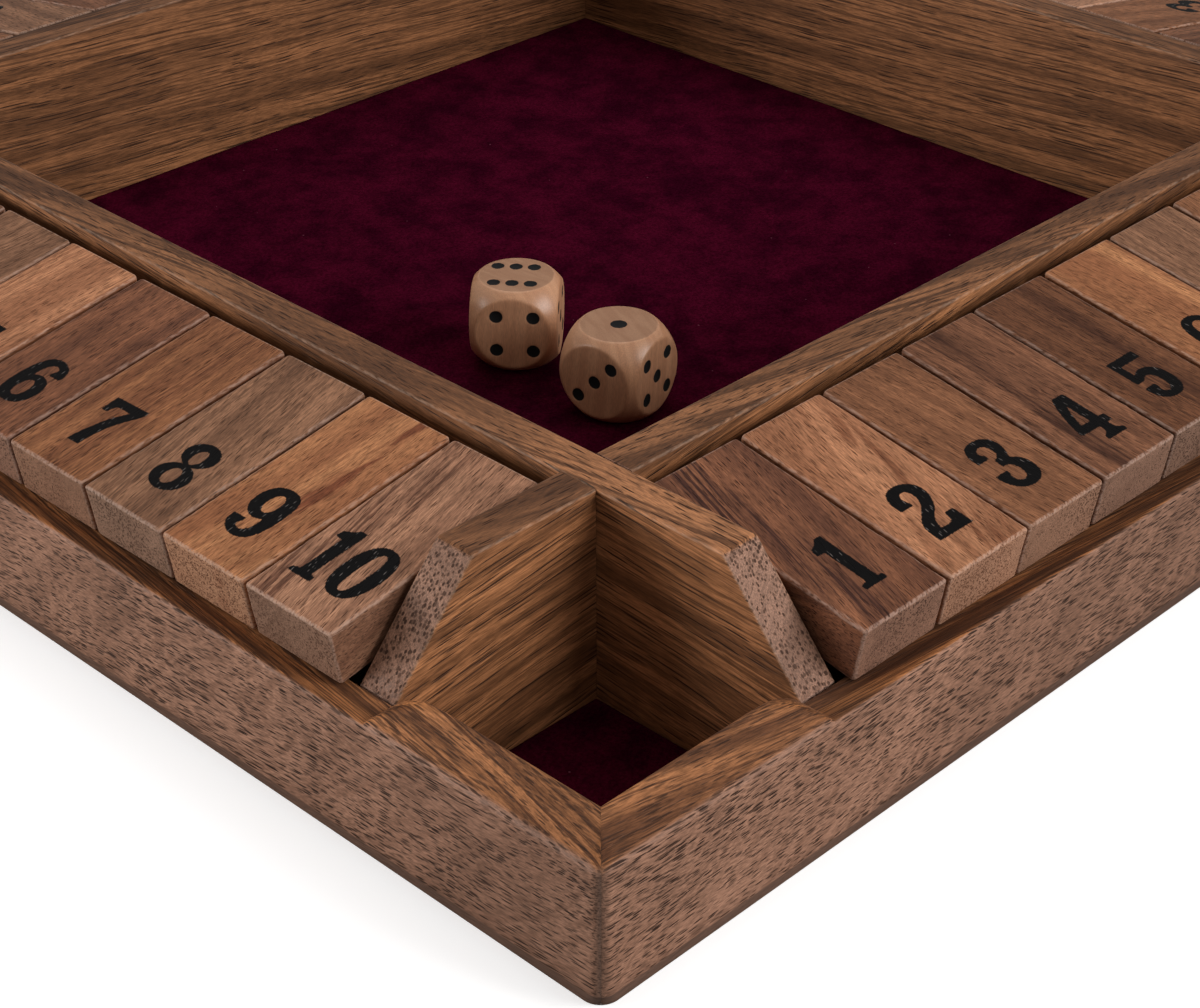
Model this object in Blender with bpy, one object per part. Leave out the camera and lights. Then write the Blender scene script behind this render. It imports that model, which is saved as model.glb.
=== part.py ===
"""A shut the box game for four players: a square wooden tray with ten number tiles hinged along each side.

Metres, +Z up. The origin is on the table under the middle of the box. The front is at -Y. Each side of the
box is built once, as the front, and the other three are turned copies of it about Z.
"""

import math

import bmesh
import bpy
from mathutils import Matrix

# Number tiles
TILE_COUNT = 10
TILE_LENGTH = 0.0410
TILE_WIDTH = 0.0184
TILE_THICKNESS = 0.0094
TILE_EASE = 0.0005  # width of the flats along a tile's edges
TILE_GAP = 0.0007  # between neighbours in a row
ROW_END_GAP = 0.00085  # from an end tile to its divider
TILE_SLOPE = math.radians(9.6)  # a lowered tile falls away from the tray
TILE_LAP = 0.0022  # reach of a tile's lower end edge over the rail

# Hinge rods
ROD_RADIUS = 0.0015
ROD_SIDES = 16
ROD_INSET = 0.0049  # from a tile's inner end to the rod's axis
ROD_TO_BOARD = 0.0070  # from the board's face to the rod's axis
ROD_BELOW_TOP = 0.0066  # from the board's top down to the rod's axis
ROD_SEAT = 0.0040  # depth of the rod's ends in the dividers

# Inner boards, which cross at the tray's corners
BOARD_THICKNESS = 0.0074
BOARD_TOP = 0.0418  # height of the top edge over the table
DIVIDER_SLANT = 0.0152  # run of the slanted end

# Outer rails
RAIL_THICKNESS = 0.0070
LEDGE_DROP = 0.00475  # from the rail's inner top edge down to the tiles' ledge
RAIL_TOP_FALL = 0.0036  # from the rail's inner top edge to its outer one
SHOULDER_RADIUS = 0.0140  # where the rail's top drops to the ledge
SHOULDER_STEPS = 6
FOOT_CHAMFER_HEIGHT = 0.0045
FOOT_CHAMFER_DEPTH = 0.0022
RABBET_DEPTH = 0.0030  # how far the base panel is let into the rail

# Base and lining
PANEL_THICKNESS = 0.0042
FELT_THICKNESS = 0.0010

# Shading
SMOOTH_LIMIT = math.radians(35)  # edges sharper than this stay crisp on round pieces

# Dice
DIE_SIDE = 0.0162
DIE_SPHERE_SHARE = 0.66  # radius of the sphere that rounds the corners, as a share of the side
DIE_SEGMENTS = 32
DIE_RINGS = 16
DIE_PLACE_SHARES = {  # X and Y as shares of the tray's half side, then the turn
    "die_1": (-0.378, -0.178, math.radians(-50.6)),
    "die_2": (-0.387, -0.458, math.radians(-78.0)),
}

# Clearances
JOINT_GAP = 0.0003
ROD_CLEARANCE = 0.0002
CUT_OVERRUN = 0.0020

# Sizes that follow, as distances from the middle of the box or heights over the table
TILE_PITCH = TILE_WIDTH + TILE_GAP
TRAY_HALF = (TILE_COUNT * TILE_WIDTH + (TILE_COUNT - 1) * TILE_GAP) / 2 + ROW_END_GAP
BOARD_OUTER = TRAY_HALF + BOARD_THICKNESS
ROD_OUT = BOARD_OUTER + ROD_TO_BOARD
ROD_HEIGHT = BOARD_TOP - ROD_BELOW_TOP
TILE_ARM = TILE_LENGTH - ROD_INSET  # from the rod's axis to the tile's outer end
TILE_REACH = TILE_ARM * math.cos(TILE_SLOPE) - TILE_THICKNESS / 2 * math.sin(TILE_SLOPE)
TILE_FALL = TILE_ARM * math.sin(TILE_SLOPE) + TILE_THICKNESS / 2 * math.cos(TILE_SLOPE)
RAIL_INNER = ROD_OUT + TILE_REACH - TILE_LAP
RAIL_OUTER = RAIL_INNER + RAIL_THICKNESS
LEDGE_HEIGHT = ROD_HEIGHT - TILE_FALL - JOINT_GAP
RAIL_INNER_HEIGHT = LEDGE_HEIGHT + LEDGE_DROP
RAIL_OUTER_HEIGHT = RAIL_INNER_HEIGHT - RAIL_TOP_FALL
FLOOR_HEIGHT = PANEL_THICKNESS + JOINT_GAP
FELT_TOP = FLOOR_HEIGHT + FELT_THICKNESS
HOLE_RADIUS = ROD_RADIUS + ROD_CLEARANCE
LAP_HEIGHT = (FLOOR_HEIGHT + BOARD_TOP) / 2

# The sides of the box, and how far each is turned from the front
SIDES = {"front": 0.0, "left": -math.pi / 2, "back": math.pi, "right": math.pi / 2}
OPPOSITE_PAIRS = (("front", "back"), ("left", "right"))

# The tones of the wood, from the reddish to the grey, in linear colour
TILE_TONES = (
    (0.150, 0.066, 0.030),
    (0.270, 0.120, 0.048),
    (0.170, 0.080, 0.036),
    (0.130, 0.062, 0.036),
    (0.150, 0.070, 0.034),
    (0.105, 0.048, 0.028),
    (0.150, 0.076, 0.040),
    (0.165, 0.092, 0.052),
    (0.230, 0.110, 0.048),
    (0.150, 0.082, 0.050),
)


def clear_scene():
    """Removes whatever the scene holds, so that a second run starts afresh."""
    for obj in list(bpy.data.objects):
        bpy.data.objects.remove(obj, do_unlink=True)


def make_material(name, color, roughness, metallic=0.0):
    """A plain Principled material."""
    material = bpy.data.materials.new(name)
    material.use_nodes = True
    shader = material.node_tree.nodes["Principled BSDF"]
    shader.inputs["Base Color"].default_value = (*color, 1.0)
    shader.inputs["Roughness"].default_value = roughness
    shader.inputs["Metallic"].default_value = metallic
    return material


def shade_round(mesh):
    """Shades a round piece smooth, but for its crisp edges."""
    mesh.shade_smooth()
    mesh.set_sharp_from_angle(angle=SMOOTH_LIMIT)


def mesh_from(bm, name):
    """Turns a bmesh into a mesh, with its faces facing out."""
    bmesh.ops.recalc_face_normals(bm, faces=bm.faces)
    mesh = bpy.data.meshes.new(name)
    bm.to_mesh(mesh)
    bm.free()
    return mesh


def add_object(name, mesh, material, parent=None):
    """Puts a mesh in the scene under its own name. Copies of a piece may share their mesh."""
    obj = bpy.data.objects.new(name, mesh)
    bpy.context.scene.collection.objects.link(obj)
    obj.parent = parent
    if not mesh.materials:
        mesh.materials.append(material)
    obj.material_slots[0].link = "OBJECT"
    obj.material_slots[0].material = material
    return obj


def box_mesh(name, low, high):
    """A box between two corners."""
    bm = bmesh.new()
    bmesh.ops.create_cube(bm, size=1)
    size = [b - a for a, b in zip(low, high)]
    middle = [(a + b) / 2 for a, b in zip(low, high)]
    place = Matrix.Translation(middle) @ Matrix.Diagonal((*size, 1))
    bmesh.ops.transform(bm, matrix=place, verts=bm.verts)
    return mesh_from(bm, name)


def prism_mesh(name, first_ring, last_ring):
    """A solid between two outlines that have the same number of points."""
    bm = bmesh.new()
    first = [bm.verts.new(point) for point in first_ring]
    last = [bm.verts.new(point) for point in last_ring]
    bm.faces.new(first)
    bm.faces.new(last)
    for i in range(len(first)):
        j = (i + 1) % len(first)
        bm.faces.new((first[i], first[j], last[j], last[i]))
    return mesh_from(bm, name)


def rod_mesh(name, radius, start, end, axis):
    """A round bar along X or Y, given its two ends along that axis."""
    bm = bmesh.new()
    bmesh.ops.create_cone(
        bm, cap_ends=True, segments=ROD_SIDES, radius1=radius, radius2=radius, depth=end - start
    )
    turn = Matrix.Rotation(math.pi / 2, 4, "Y" if axis == "X" else "X")
    middle = (start + end) / 2
    shift = Matrix.Translation((middle, 0, 0) if axis == "X" else (0, middle, 0))
    bmesh.ops.transform(bm, matrix=shift @ turn, verts=bm.verts)
    return mesh_from(bm, name)


def carved_mesh(name, body, cutters, operation="DIFFERENCE"):
    """The body's mesh after the Booleans. The body and its cutters are helpers, and are removed again."""
    helpers = [bpy.data.objects.new(name + "_body", body)]
    helpers += [bpy.data.objects.new(name + "_cutter", cutter) for cutter in cutters]
    for helper in helpers:
        bpy.context.scene.collection.objects.link(helper)
        helper.hide_render = True
        helper.display_type = "WIRE"
    for cutter in helpers[1:]:
        boolean = helpers[0].modifiers.new("Cut", "BOOLEAN")
        boolean.operation = operation
        boolean.solver = "EXACT"
        boolean.object = cutter
    graph = bpy.context.evaluated_depsgraph_get()
    mesh = bpy.data.meshes.new_from_object(helpers[0].evaluated_get(graph))
    mesh.name = name
    mesh.materials.clear()
    for helper in helpers:
        bpy.data.objects.remove(helper, do_unlink=True)
    return mesh


def tile_mesh():
    """A tile about its rod's axis, lowered: the numbered face is up and the free end points to -Y, sloping down."""
    bm = bmesh.new()
    bmesh.ops.create_cube(bm, size=1)
    middle = (0, ROD_INSET - TILE_LENGTH / 2, 0)
    size = Matrix.Diagonal((TILE_WIDTH, TILE_LENGTH, TILE_THICKNESS, 1))
    bmesh.ops.transform(bm, matrix=Matrix.Translation(middle) @ size, verts=bm.verts)
    bmesh.ops.bevel(bm, geom=bm.edges[:], offset=TILE_EASE, segments=1, affect="EDGES")
    body = mesh_from(bm, "tile_blank")
    half = TILE_WIDTH / 2 + CUT_OVERRUN
    bore = rod_mesh("tile_bore", HOLE_RADIUS, -half, half, "X")
    mesh = carved_mesh("tile", body, [bore])
    mesh.transform(Matrix.Rotation(TILE_SLOPE, 4, "X"))
    return mesh


def divider_top(end):
    """The right half of a board's upper outline, from the rail to where the slant meets the top edge."""
    return [(end, LEDGE_HEIGHT), (end - DIVIDER_SLANT, BOARD_TOP)]


def board_outline(notched_top):
    """A board's outline in its length and height. The notches are cut from the top or from the bottom."""
    end = RAIL_INNER - JOINT_GAP
    near = TRAY_HALF - JOINT_GAP
    far = BOARD_OUTER + JOINT_GAP
    edge = BOARD_TOP if notched_top else FLOOR_HEIGHT
    floor = LAP_HEIGHT - JOINT_GAP / 2 if notched_top else LAP_HEIGHT + JOINT_GAP / 2
    notch = [(far, edge), (far, floor), (near, floor), (near, edge)]
    if notched_top:
        right = [(end, FLOOR_HEIGHT), *divider_top(end), *notch]
    else:
        right = [*reversed(notch), (end, FLOOR_HEIGHT), *divider_top(end)]
    return right + [(-x, z) for x, z in reversed(right)]


def board_mesh(notched_top):
    """A front board, with a blind hole for a rod in the inner face near each end."""
    outline = board_outline(notched_top)
    outer = [(x, -BOARD_OUTER, z) for x, z in outline]
    inner = [(x, -TRAY_HALF, z) for x, z in outline]
    body = prism_mesh("board_blank", outer, inner)
    depth = ROD_SEAT + JOINT_GAP
    holes = []
    for side in (-1, 1):
        hole = rod_mesh("rod_hole", HOLE_RADIUS, -TRAY_HALF - depth, -TRAY_HALF + CUT_OVERRUN, "Y")
        hole.transform(Matrix.Translation((side * ROD_OUT, 0, ROD_HEIGHT)))
        holes.append(hole)
    return carved_mesh("board", body, holes)


def rail_profile():
    """A rail's section, as distance in from its outer face and height."""
    rabbet = RAIL_THICKNESS - RABBET_DEPTH
    return [
        (FOOT_CHAMFER_DEPTH, 0),
        (rabbet, 0),
        (rabbet, FLOOR_HEIGHT),
        (RAIL_THICKNESS, FLOOR_HEIGHT),
        (RAIL_THICKNESS, RAIL_INNER_HEIGHT),
        (0, RAIL_OUTER_HEIGHT),
        (0, FOOT_CHAMFER_HEIGHT),
    ]


def scoop_outline():
    """The outline, in X and Z, of what is cut off a rail's top above the ledge, with a round shoulder at each end."""
    sweep = math.acos(1 - LEDGE_DROP / SHOULDER_RADIUS)
    start = BOARD_OUTER + SHOULDER_RADIUS * math.sin(sweep)
    right = []
    for step in range(SHOULDER_STEPS + 1):
        angle = sweep * (1 - step / SHOULDER_STEPS)
        x = start - SHOULDER_RADIUS * math.sin(angle)
        z = RAIL_INNER_HEIGHT - SHOULDER_RADIUS * (1 - math.cos(angle))
        right.append((x, z))
    right.append((start, RAIL_INNER_HEIGHT + CUT_OVERRUN))
    return right + [(-x, z) for x, z in reversed(right)]


def rail_mesh():
    """The front rail, mitred at both ends, with the ledge for the tiles scooped out of its top."""
    mitre_gap = JOINT_GAP / math.sqrt(2)
    ends = []
    for side in (-1, 1):
        ends.append([
            (side * (RAIL_OUTER - depth - mitre_gap), depth - RAIL_OUTER, z) for depth, z in rail_profile()
        ])
    body = prism_mesh("rail_blank", *ends)
    outline = scoop_outline()
    outer = [(x, -RAIL_OUTER - CUT_OVERRUN, z) for x, z in outline]
    inner = [(x, -RAIL_INNER + CUT_OVERRUN, z) for x, z in outline]
    return carved_mesh("rail", body, [prism_mesh("scoop", outer, inner)])


def die_mesh():
    """A cube whose corners are rounded by a sphere, so that each face is a flat disc."""
    half = DIE_SIDE / 2
    cube = box_mesh("die_cube", (-half, -half, -half), (half, half, half))
    bm = bmesh.new()
    bmesh.ops.create_uvsphere(
        bm, u_segments=DIE_SEGMENTS, v_segments=DIE_RINGS, radius=DIE_SIDE * DIE_SPHERE_SHARE
    )
    ball = mesh_from(bm, "die_ball")
    return carved_mesh("die", cube, [ball], "INTERSECT")


def add_side_frames():
    """An empty for each side of the box. What is made as the front and parented to it lands on that side."""
    frames = {}
    for side, turn in SIDES.items():
        frame = bpy.data.objects.new("side_" + side, None)
        frame.rotation_euler.z = turn
        bpy.context.scene.collection.objects.link(frame)
        frames[side] = frame
    return frames


def add_rails(frames, material):
    mesh = rail_mesh()
    for side, frame in frames.items():
        add_object("rail_" + side, mesh, material, frame)


def add_boards(frames, material):
    """The left and right boards run through on top, so the front and back ones are notched from the top."""
    for pair in OPPOSITE_PAIRS:
        mesh = board_mesh(notched_top="front" in pair)
        for side in pair:
            add_object("board_" + side, mesh, material, frames[side])


def add_rods(frames, material):
    end = TRAY_HALF + ROD_SEAT
    mesh = rod_mesh("rod", ROD_RADIUS, -end, end, "X")
    shade_round(mesh)
    for side, frame in frames.items():
        rod = add_object("rod_" + side, mesh, material, frame)
        rod.location = (0, -ROD_OUT, ROD_HEIGHT)


def add_tiles(frames, materials):
    """Ten tiles a side, numbered from the left of the player who sits there. Each one's origin is on its rod."""
    mesh = tile_mesh()
    first = TILE_WIDTH / 2 + ROW_END_GAP - TRAY_HALF
    for side, frame in frames.items():
        for i in range(TILE_COUNT):
            tone = materials[i % len(materials)]
            tile = add_object(f"tile_{side}_{i + 1:02d}", mesh, tone, frame)
            tile.location = (first + i * TILE_PITCH, -ROD_OUT, ROD_HEIGHT)


def add_base(panel_material, felt_material):
    """The panel under everything, and the felt in the tray and in the four wells."""
    half = RAIL_INNER + RABBET_DEPTH - JOINT_GAP
    panel = box_mesh("base_panel", (-half, -half, 0), (half, half, PANEL_THICKNESS))
    add_object("base_panel", panel, panel_material)
    half = TRAY_HALF - JOINT_GAP
    tray = box_mesh("felt_tray", (-half, -half, FLOOR_HEIGHT), (half, half, FELT_TOP))
    add_object("felt_tray", tray, felt_material)
    near = BOARD_OUTER + JOINT_GAP
    far = RAIL_INNER - JOINT_GAP
    well = box_mesh("felt_well", (-far, -far, FLOOR_HEIGHT), (-near, -near, FELT_TOP))
    for quarter, corner in enumerate(("front_left", "front_right", "back_right", "back_left")):
        felt = add_object("felt_well_" + corner, well, felt_material)
        felt.rotation_euler.z = quarter * math.pi / 2


def add_dice(material):
    mesh = die_mesh()
    shade_round(mesh)
    height = FELT_TOP + JOINT_GAP + DIE_SIDE / 2
    for name, (x_share, y_share, turn) in DIE_PLACE_SHARES.items():
        die = add_object(name, mesh, material)
        die.location = (x_share * TRAY_HALF, y_share * TRAY_HALF, height)
        die.rotation_euler.z = turn


def main():
    clear_scene()
    frames = add_side_frames()
    add_rails(frames, make_material("rail_wood", (0.140, 0.078, 0.050), 0.55))
    add_boards(frames, make_material("board_wood", (0.150, 0.075, 0.036), 0.55))
    add_rods(frames, make_material("rod_steel", (0.55, 0.55, 0.56), 0.35, metallic=1.0))
    tones = [make_material(f"tile_wood_{i + 1:02d}", tone, 0.50) for i, tone in enumerate(TILE_TONES)]
    add_tiles(frames, tones)
    panel = make_material("panel_plywood", (0.35, 0.22, 0.12), 0.70)
    felt = make_material("maroon_felt", (0.022, 0.001, 0.006), 0.95)
    add_base(panel, felt)
    add_dice(make_material("die_wood", (0.43, 0.27, 0.16), 0.45))


main()
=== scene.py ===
# %% [markdown]
# # A shut the box game for four players
#
# The real object is a low square tray of oiled hardwood. Ten numbered tiles are hinged along each side,
# dice are thrown on the felt in the middle, and the four small wells at the corners hold the spare ones.
#
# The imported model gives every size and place. Each piece that shows is built again here with eased edges
# and real wood, as a surface worked out on a grid of points. It then rides on the same body as the plain
# solid that it stands for, so a tile still flips on its rod.

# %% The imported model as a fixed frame
import math

import bmesh
import bpy
import numpy as np
from mathutils import Matrix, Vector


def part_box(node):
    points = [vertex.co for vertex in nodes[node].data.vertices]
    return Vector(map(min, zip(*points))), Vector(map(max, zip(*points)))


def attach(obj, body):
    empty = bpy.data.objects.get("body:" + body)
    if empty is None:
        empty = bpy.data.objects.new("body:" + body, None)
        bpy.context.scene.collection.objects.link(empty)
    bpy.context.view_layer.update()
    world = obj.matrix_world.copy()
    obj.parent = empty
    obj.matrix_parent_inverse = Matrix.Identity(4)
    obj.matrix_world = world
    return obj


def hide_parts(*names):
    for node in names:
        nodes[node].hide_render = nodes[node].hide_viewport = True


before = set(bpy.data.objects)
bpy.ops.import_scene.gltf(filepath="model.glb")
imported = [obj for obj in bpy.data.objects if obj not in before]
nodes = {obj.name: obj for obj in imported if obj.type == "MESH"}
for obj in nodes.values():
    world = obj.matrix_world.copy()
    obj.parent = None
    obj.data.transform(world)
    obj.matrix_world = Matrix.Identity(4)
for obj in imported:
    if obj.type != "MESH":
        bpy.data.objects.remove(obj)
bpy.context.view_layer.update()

# %% [markdown]
# ## Sizes
#
# The box has four equal sides, so only the front one has to be measured. Its boxes give the rail, the board
# and the rod, and the rail's own points give the height of the ledge that the tiles lie on.

# %% Sizes read from the frame
SIDES = {"front": 0.0, "left": -math.pi / 2, "back": math.pi, "right": math.pi / 2}
MM = 0.001

rail_low, rail_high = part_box("rail_front")
board_low, board_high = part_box("board_front")
rod_low, rod_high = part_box("rod_front")
RAIL_OUTER, RAIL_INNER = -rail_low.y, -rail_high.y
RAIL_THICKNESS = RAIL_OUTER - RAIL_INNER
BOARD_OUTER, TRAY_HALF = -board_low.y, -board_high.y
BOARD_THICKNESS = BOARD_OUTER - TRAY_HALF
BOARD_TOP, BOARD_END = board_high.z, board_high.x
FLOOR_HEIGHT = board_low.z
ROD_OUT, ROD_HEIGHT = -(rod_low.y + rod_high.y) / 2, (rod_low.z + rod_high.z) / 2


def mesh_points(mesh):
    """All points of a mesh, one per row."""
    points = np.empty(len(mesh.vertices) * 3)
    mesh.vertices.foreach_get("co", points)
    return points.reshape(-1, 3)


rail_points = mesh_points(nodes["rail_front"].data)
beside_tiles = abs(rail_points[:, 0]) < TRAY_HALF + BOARD_THICKNESS * 1.1
upper_half = rail_points[:, 2] > rail_high.z / 2
LEDGE_HEIGHT = rail_points[beside_tiles & upper_half, 2].min()
RAIL_INNER_HEIGHT = rail_high.z
outer_edge = rail_points[abs(rail_points[:, 1] + RAIL_OUTER) < 0.1 * MM]
RAIL_OUTER_HEIGHT = outer_edge[:, 2].max()
print("rail", round(RAIL_OUTER / MM, 2), round(RAIL_INNER / MM, 2), "ledge", round(LEDGE_HEIGHT / MM, 2),
      "tops", round(RAIL_INNER_HEIGHT / MM, 2), round(RAIL_OUTER_HEIGHT / MM, 2))

# %% [markdown]
# ## From a grid of points to a piece
#
# Every new piece is a grid: rows along the piece, columns around its section. A few short helpers turn such
# a grid into a closed mesh, weld its seams and store what the materials need to know about each point.

# %% Helpers that turn grids into meshes
WELD = 0.001 * MM


def grid_quads(rows, columns, closed_rows=False, closed_columns=True):
    """The four corners of each cell of a grid whose points are numbered row by row. A closed grid joins its
    last row or column to the first."""
    r = np.arange(rows if closed_rows else rows - 1)[:, None]
    c = np.arange(columns if closed_columns else columns - 1)[None, :]
    r2, c2 = (r + 1) % rows, (c + 1) % columns
    quads = np.stack([r * columns + c, r * columns + c2, r2 * columns + c2, r2 * columns + c], -1)
    return quads.reshape(-1, 4)


def store(mesh, name, values, kind="FLOAT", domain="POINT"):
    """Keeps one value per point or face under a name that materials can read."""
    layer = mesh.attributes.new(name, kind, domain)
    key = {"FLOAT": "value", "FLOAT_VECTOR": "vector", "FLOAT_COLOR": "color"}[kind]
    layer.data.foreach_set(key, np.ascontiguousarray(values, np.float32).ravel())


def skin(name, points, faces, sharp=50, **layers):
    """A closed mesh from points and faces. Points that meet are welded, and the faces are turned outwards.
    Edges that turn by more than the sharp angle, in degrees, aren't smoothed. Each layer is a value per
    point: one is 1 along an eased edge, and another is 1 where shade is painted on the wood."""
    mesh = bpy.data.meshes.new(name)
    mesh.from_pydata(points.reshape(-1, 3).tolist(), [], [list(map(int, f)) for f in faces])
    for key, values in layers.items():
        store(mesh, key, values)
    bm = bmesh.new()
    bm.from_mesh(mesh)
    bmesh.ops.remove_doubles(bm, verts=bm.verts, dist=WELD)
    bmesh.ops.recalc_face_normals(bm, faces=bm.faces)
    bm.to_mesh(mesh)
    bm.free()
    mesh.shade_smooth()
    if sharp:
        mesh.set_sharp_from_angle(angle=math.radians(sharp))
    return mesh


def move_to(mesh, points):
    """Moves the points of a mesh to new places."""
    mesh.vertices.foreach_set("co", points.ravel())
    mesh.update()


def cube_grid(line):
    """The six faces of a cube from -1 to 1, each a grid of points on one line of numbers. It returns the
    grid that all faces share, the points of each face, and the quads of all six."""
    u, v = (g.ravel() for g in np.meshgrid(line, line, indexing="ij"))
    one = np.ones_like(u)
    faces = [(u, v, one), (u, v, -one), (one, u, v), (-one, u, v), (u, one, v), (u, -one, v)]
    quads = grid_quads(len(line), len(line), closed_columns=False)
    quads = np.concatenate([quads + i * len(line) ** 2 for i in range(len(faces))])
    return np.stack([u, v], -1), [np.stack(face, -1) for face in faces], quads


def turn_z(points, angle):
    """Points turned about Z by an angle."""
    c, s = math.cos(angle), math.sin(angle)
    return points @ np.array([[c, s, 0], [-s, c, 0], [0, 0, 1]])


def place(mesh, name, material, body, replaced):
    """Puts a finished mesh in the scene, riding on a body in the place of the solid that it stands for."""
    mesh.materials.append(material)
    piece = bpy.data.objects.new(name, mesh)
    bpy.context.scene.collection.objects.link(piece)
    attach(piece, body)
    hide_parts(replaced)
    return piece


# %% [markdown]
# ## Wood that is cut from a plank
#
# Grain that is painted on a face stops at its edges. Real grain runs through the piece: the same pore is a
# dash on the side and a dot on the end. So each piece stores where its points lay in the plank, in
# millimetres: first along the fibres, then across the growth rings, then along them. One solid pattern in
# plank space then gives long streaks, short dashes or end grain, whichever way the piece was cut.

# %% Where each point lay in its plank
def cut_from_plank(mesh, along, face, turn=0.0, dive=0.0, ring=0.0, place_mm=(0, 0, 0)):
    """Stores plank coordinates, how squarely each face cuts the fibres, and how far it is a main face.

    The fibres run along the piece, turned by so many degrees in its main face and diving so many degrees
    into it. The ring angle is 0 where the main face lies along the growth rings and 90 where it crosses
    them."""
    turn, dive, ring = (math.radians(a) for a in (turn, dive, ring))
    along, face = (np.array(v, float) / np.linalg.norm(v) for v in (along, face))
    across = np.cross(face, along)
    fibre = math.cos(turn) * along + math.sin(turn) * across
    side = np.cross(face, fibre)
    fibre, depth = (math.cos(dive) * fibre + math.sin(dive) * face,
                    math.cos(dive) * face - math.sin(dive) * fibre)
    radial = math.cos(ring) * depth + math.sin(ring) * side
    basis = np.stack([fibre, radial, np.cross(fibre, radial)])
    plank = mesh_points(mesh) @ basis.T / MM + np.array(place_mm)
    store(mesh, "plank", plank, kind="FLOAT_VECTOR")
    normals = np.empty(len(mesh.polygons) * 3)
    mesh.polygons.foreach_get("normal", normals)
    normals = normals.reshape(-1, 3)
    store(mesh, "end", abs(normals @ fibre), domain="FACE")
    store(mesh, "main", abs(normals @ face), domain="FACE")


# %% [markdown]
# ## Node helpers
#
# A material is a graph, and a graph is easier to read as code when adding a node is one short call.

# %% Short calls for nodes
def srgb(red, green, blue):
    """The linear colour of a screen colour, given as three numbers from 0 to 255."""
    return tuple(c / 12.92 if c <= 0.04045 else ((c + 0.055) / 1.055) ** 2.4
                 for c in (red / 255, green / 255, blue / 255)) + (1.0,)


def set_inputs(tree, node, inputs):
    """Sets a node's inputs to values, or links them where a socket is given."""
    for key, value in inputs.items():
        if isinstance(value, bpy.types.NodeSocket):
            tree.links.new(value, node.inputs[key])
        else:
            node.inputs[key].default_value = value


def add_node(tree, kind, inputs=None, **settings):
    """Adds a shader node with its settings and inputs."""
    made = tree.nodes.new("ShaderNode" + kind)
    for key, value in settings.items():
        setattr(made, key, value)
    set_inputs(tree, made, inputs or {})
    return made


def calc(tree, operation, *values):
    """One sum: a Math node, or a Vector Math node where the operation starts with V_."""
    kind = "VectorMath" if operation.startswith("V_") else "Math"
    made = add_node(tree, kind, dict(enumerate(values)), operation=operation.removeprefix("V_"))
    return made.outputs[0]


def product(tree, value, *factors):
    """A value multiplied by one factor after the other."""
    for factor in factors:
        value = calc(tree, "MULTIPLY", value, factor)
    return value


def rest(tree, value):
    """What a value leaves of 1."""
    return calc(tree, "SUBTRACT", 1.0, value)


def between(tree, factor, first, second):
    """A number mixed from two."""
    return add_node(tree, "Mix", {0: factor, 2: first, 3: second}).outputs[0]


def noise(tree, vector, scale=None, detail=2.0, roughness=0.5, output=0):
    """A smooth noise about 0.5. The scale says how many of its waves go into one unit of each axis."""
    if scale:
        vector = calc(tree, "V_MULTIPLY", vector, scale)
    inputs = {"Vector": vector, "Scale": 1.0, "Detail": detail, "Roughness": roughness}
    return add_node(tree, "TexNoise", inputs).outputs[output]


def ramp(tree, value, low, high, start=0.0, end=1.0):
    """A smooth step from one value to another."""
    made = add_node(tree, "MapRange", {"Value": value, "From Min": low, "From Max": high, "To Min": start,
                                       "To Max": end}, interpolation_type="SMOOTHSTEP")
    return made.outputs[0]


def blend(tree, factor, first, second, mode="MIX"):
    """A colour mixed from two."""
    made = add_node(tree, "Mix", {0: factor, 6: first, 7: second}, data_type="RGBA", blend_type=mode)
    return made.outputs[2]


def tinted(tree, tone, light):
    """A tone made lighter or darker by one factor."""
    factor = add_node(tree, "CombineXYZ", {0: light, 1: light, 2: light}).outputs[0]
    return blend(tree, 1.0, tone, factor, "MULTIPLY")


def stored(tree, *names):
    """What a piece stores under each name, as the outputs that read it."""
    return {name: add_node(tree, "Attribute", attribute_name=name).outputs for name in names}


def relief(tree, shader, height, strength, depth):
    """Lets a height tilt the surface's shading. The depth is in millimetres."""
    bump = add_node(tree, "Bump", {"Strength": strength, "Distance": depth * MM, "Height": height})
    set_inputs(tree, shader, {"Normal": bump.outputs[0]})


def new_group(name, inputs, outputs):
    """An empty node group with named sockets. An input is given as a number, or by its kind. It returns the
    group and the sockets of its two end nodes."""
    tree = bpy.data.node_groups.new(name, "ShaderNodeTree")
    for label, value in inputs.items():
        kind = "Float" if isinstance(value, float) else value
        socket = tree.interface.new_socket(label, in_out="INPUT", socket_type="NodeSocket" + kind)
        if isinstance(value, float):
            socket.default_value = value
    for label, kind in outputs.items():
        tree.interface.new_socket(label, in_out="OUTPUT", socket_type="NodeSocket" + kind)
    return tree, tree.nodes.new("NodeGroupInput").outputs, tree.nodes.new("NodeGroupOutput").inputs


def new_material(name, **plain):
    """A Principled material. Plain values are set on the shader's own sockets."""
    material = bpy.data.materials.new(name)
    material.use_nodes = True
    shader = material.node_tree.nodes["Principled BSDF"]
    for key, value in plain.items():
        shader.inputs[key.replace("_", " ").title().replace("Ior", "IOR")].default_value = value
    return material, material.node_tree, shader


# %% [markdown]
# ## The grain
#
# This wood has wavy growth rings, dark open pores and fine fibres, all built in plank space. A slow noise
# bends everything, as the trunk did. Noises that are stretched along the fibres give the wide rings and the
# thin ones within them. Long cells give the pores, and only their cores are coloured. Finer noises give the
# fibres and some smudges. Eased edges are rubbed pale, with a painted highlight along them, and end grain is
# paler and greyer than the rest. A piece can also store where shade is painted on it, where it is deeper in
# tone, and where a dark band runs.

# %% The grain as a node group
# The grey-brown that painted shade pulls the wood towards.
SHADE_TONE = srgb(86, 66, 56)

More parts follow.
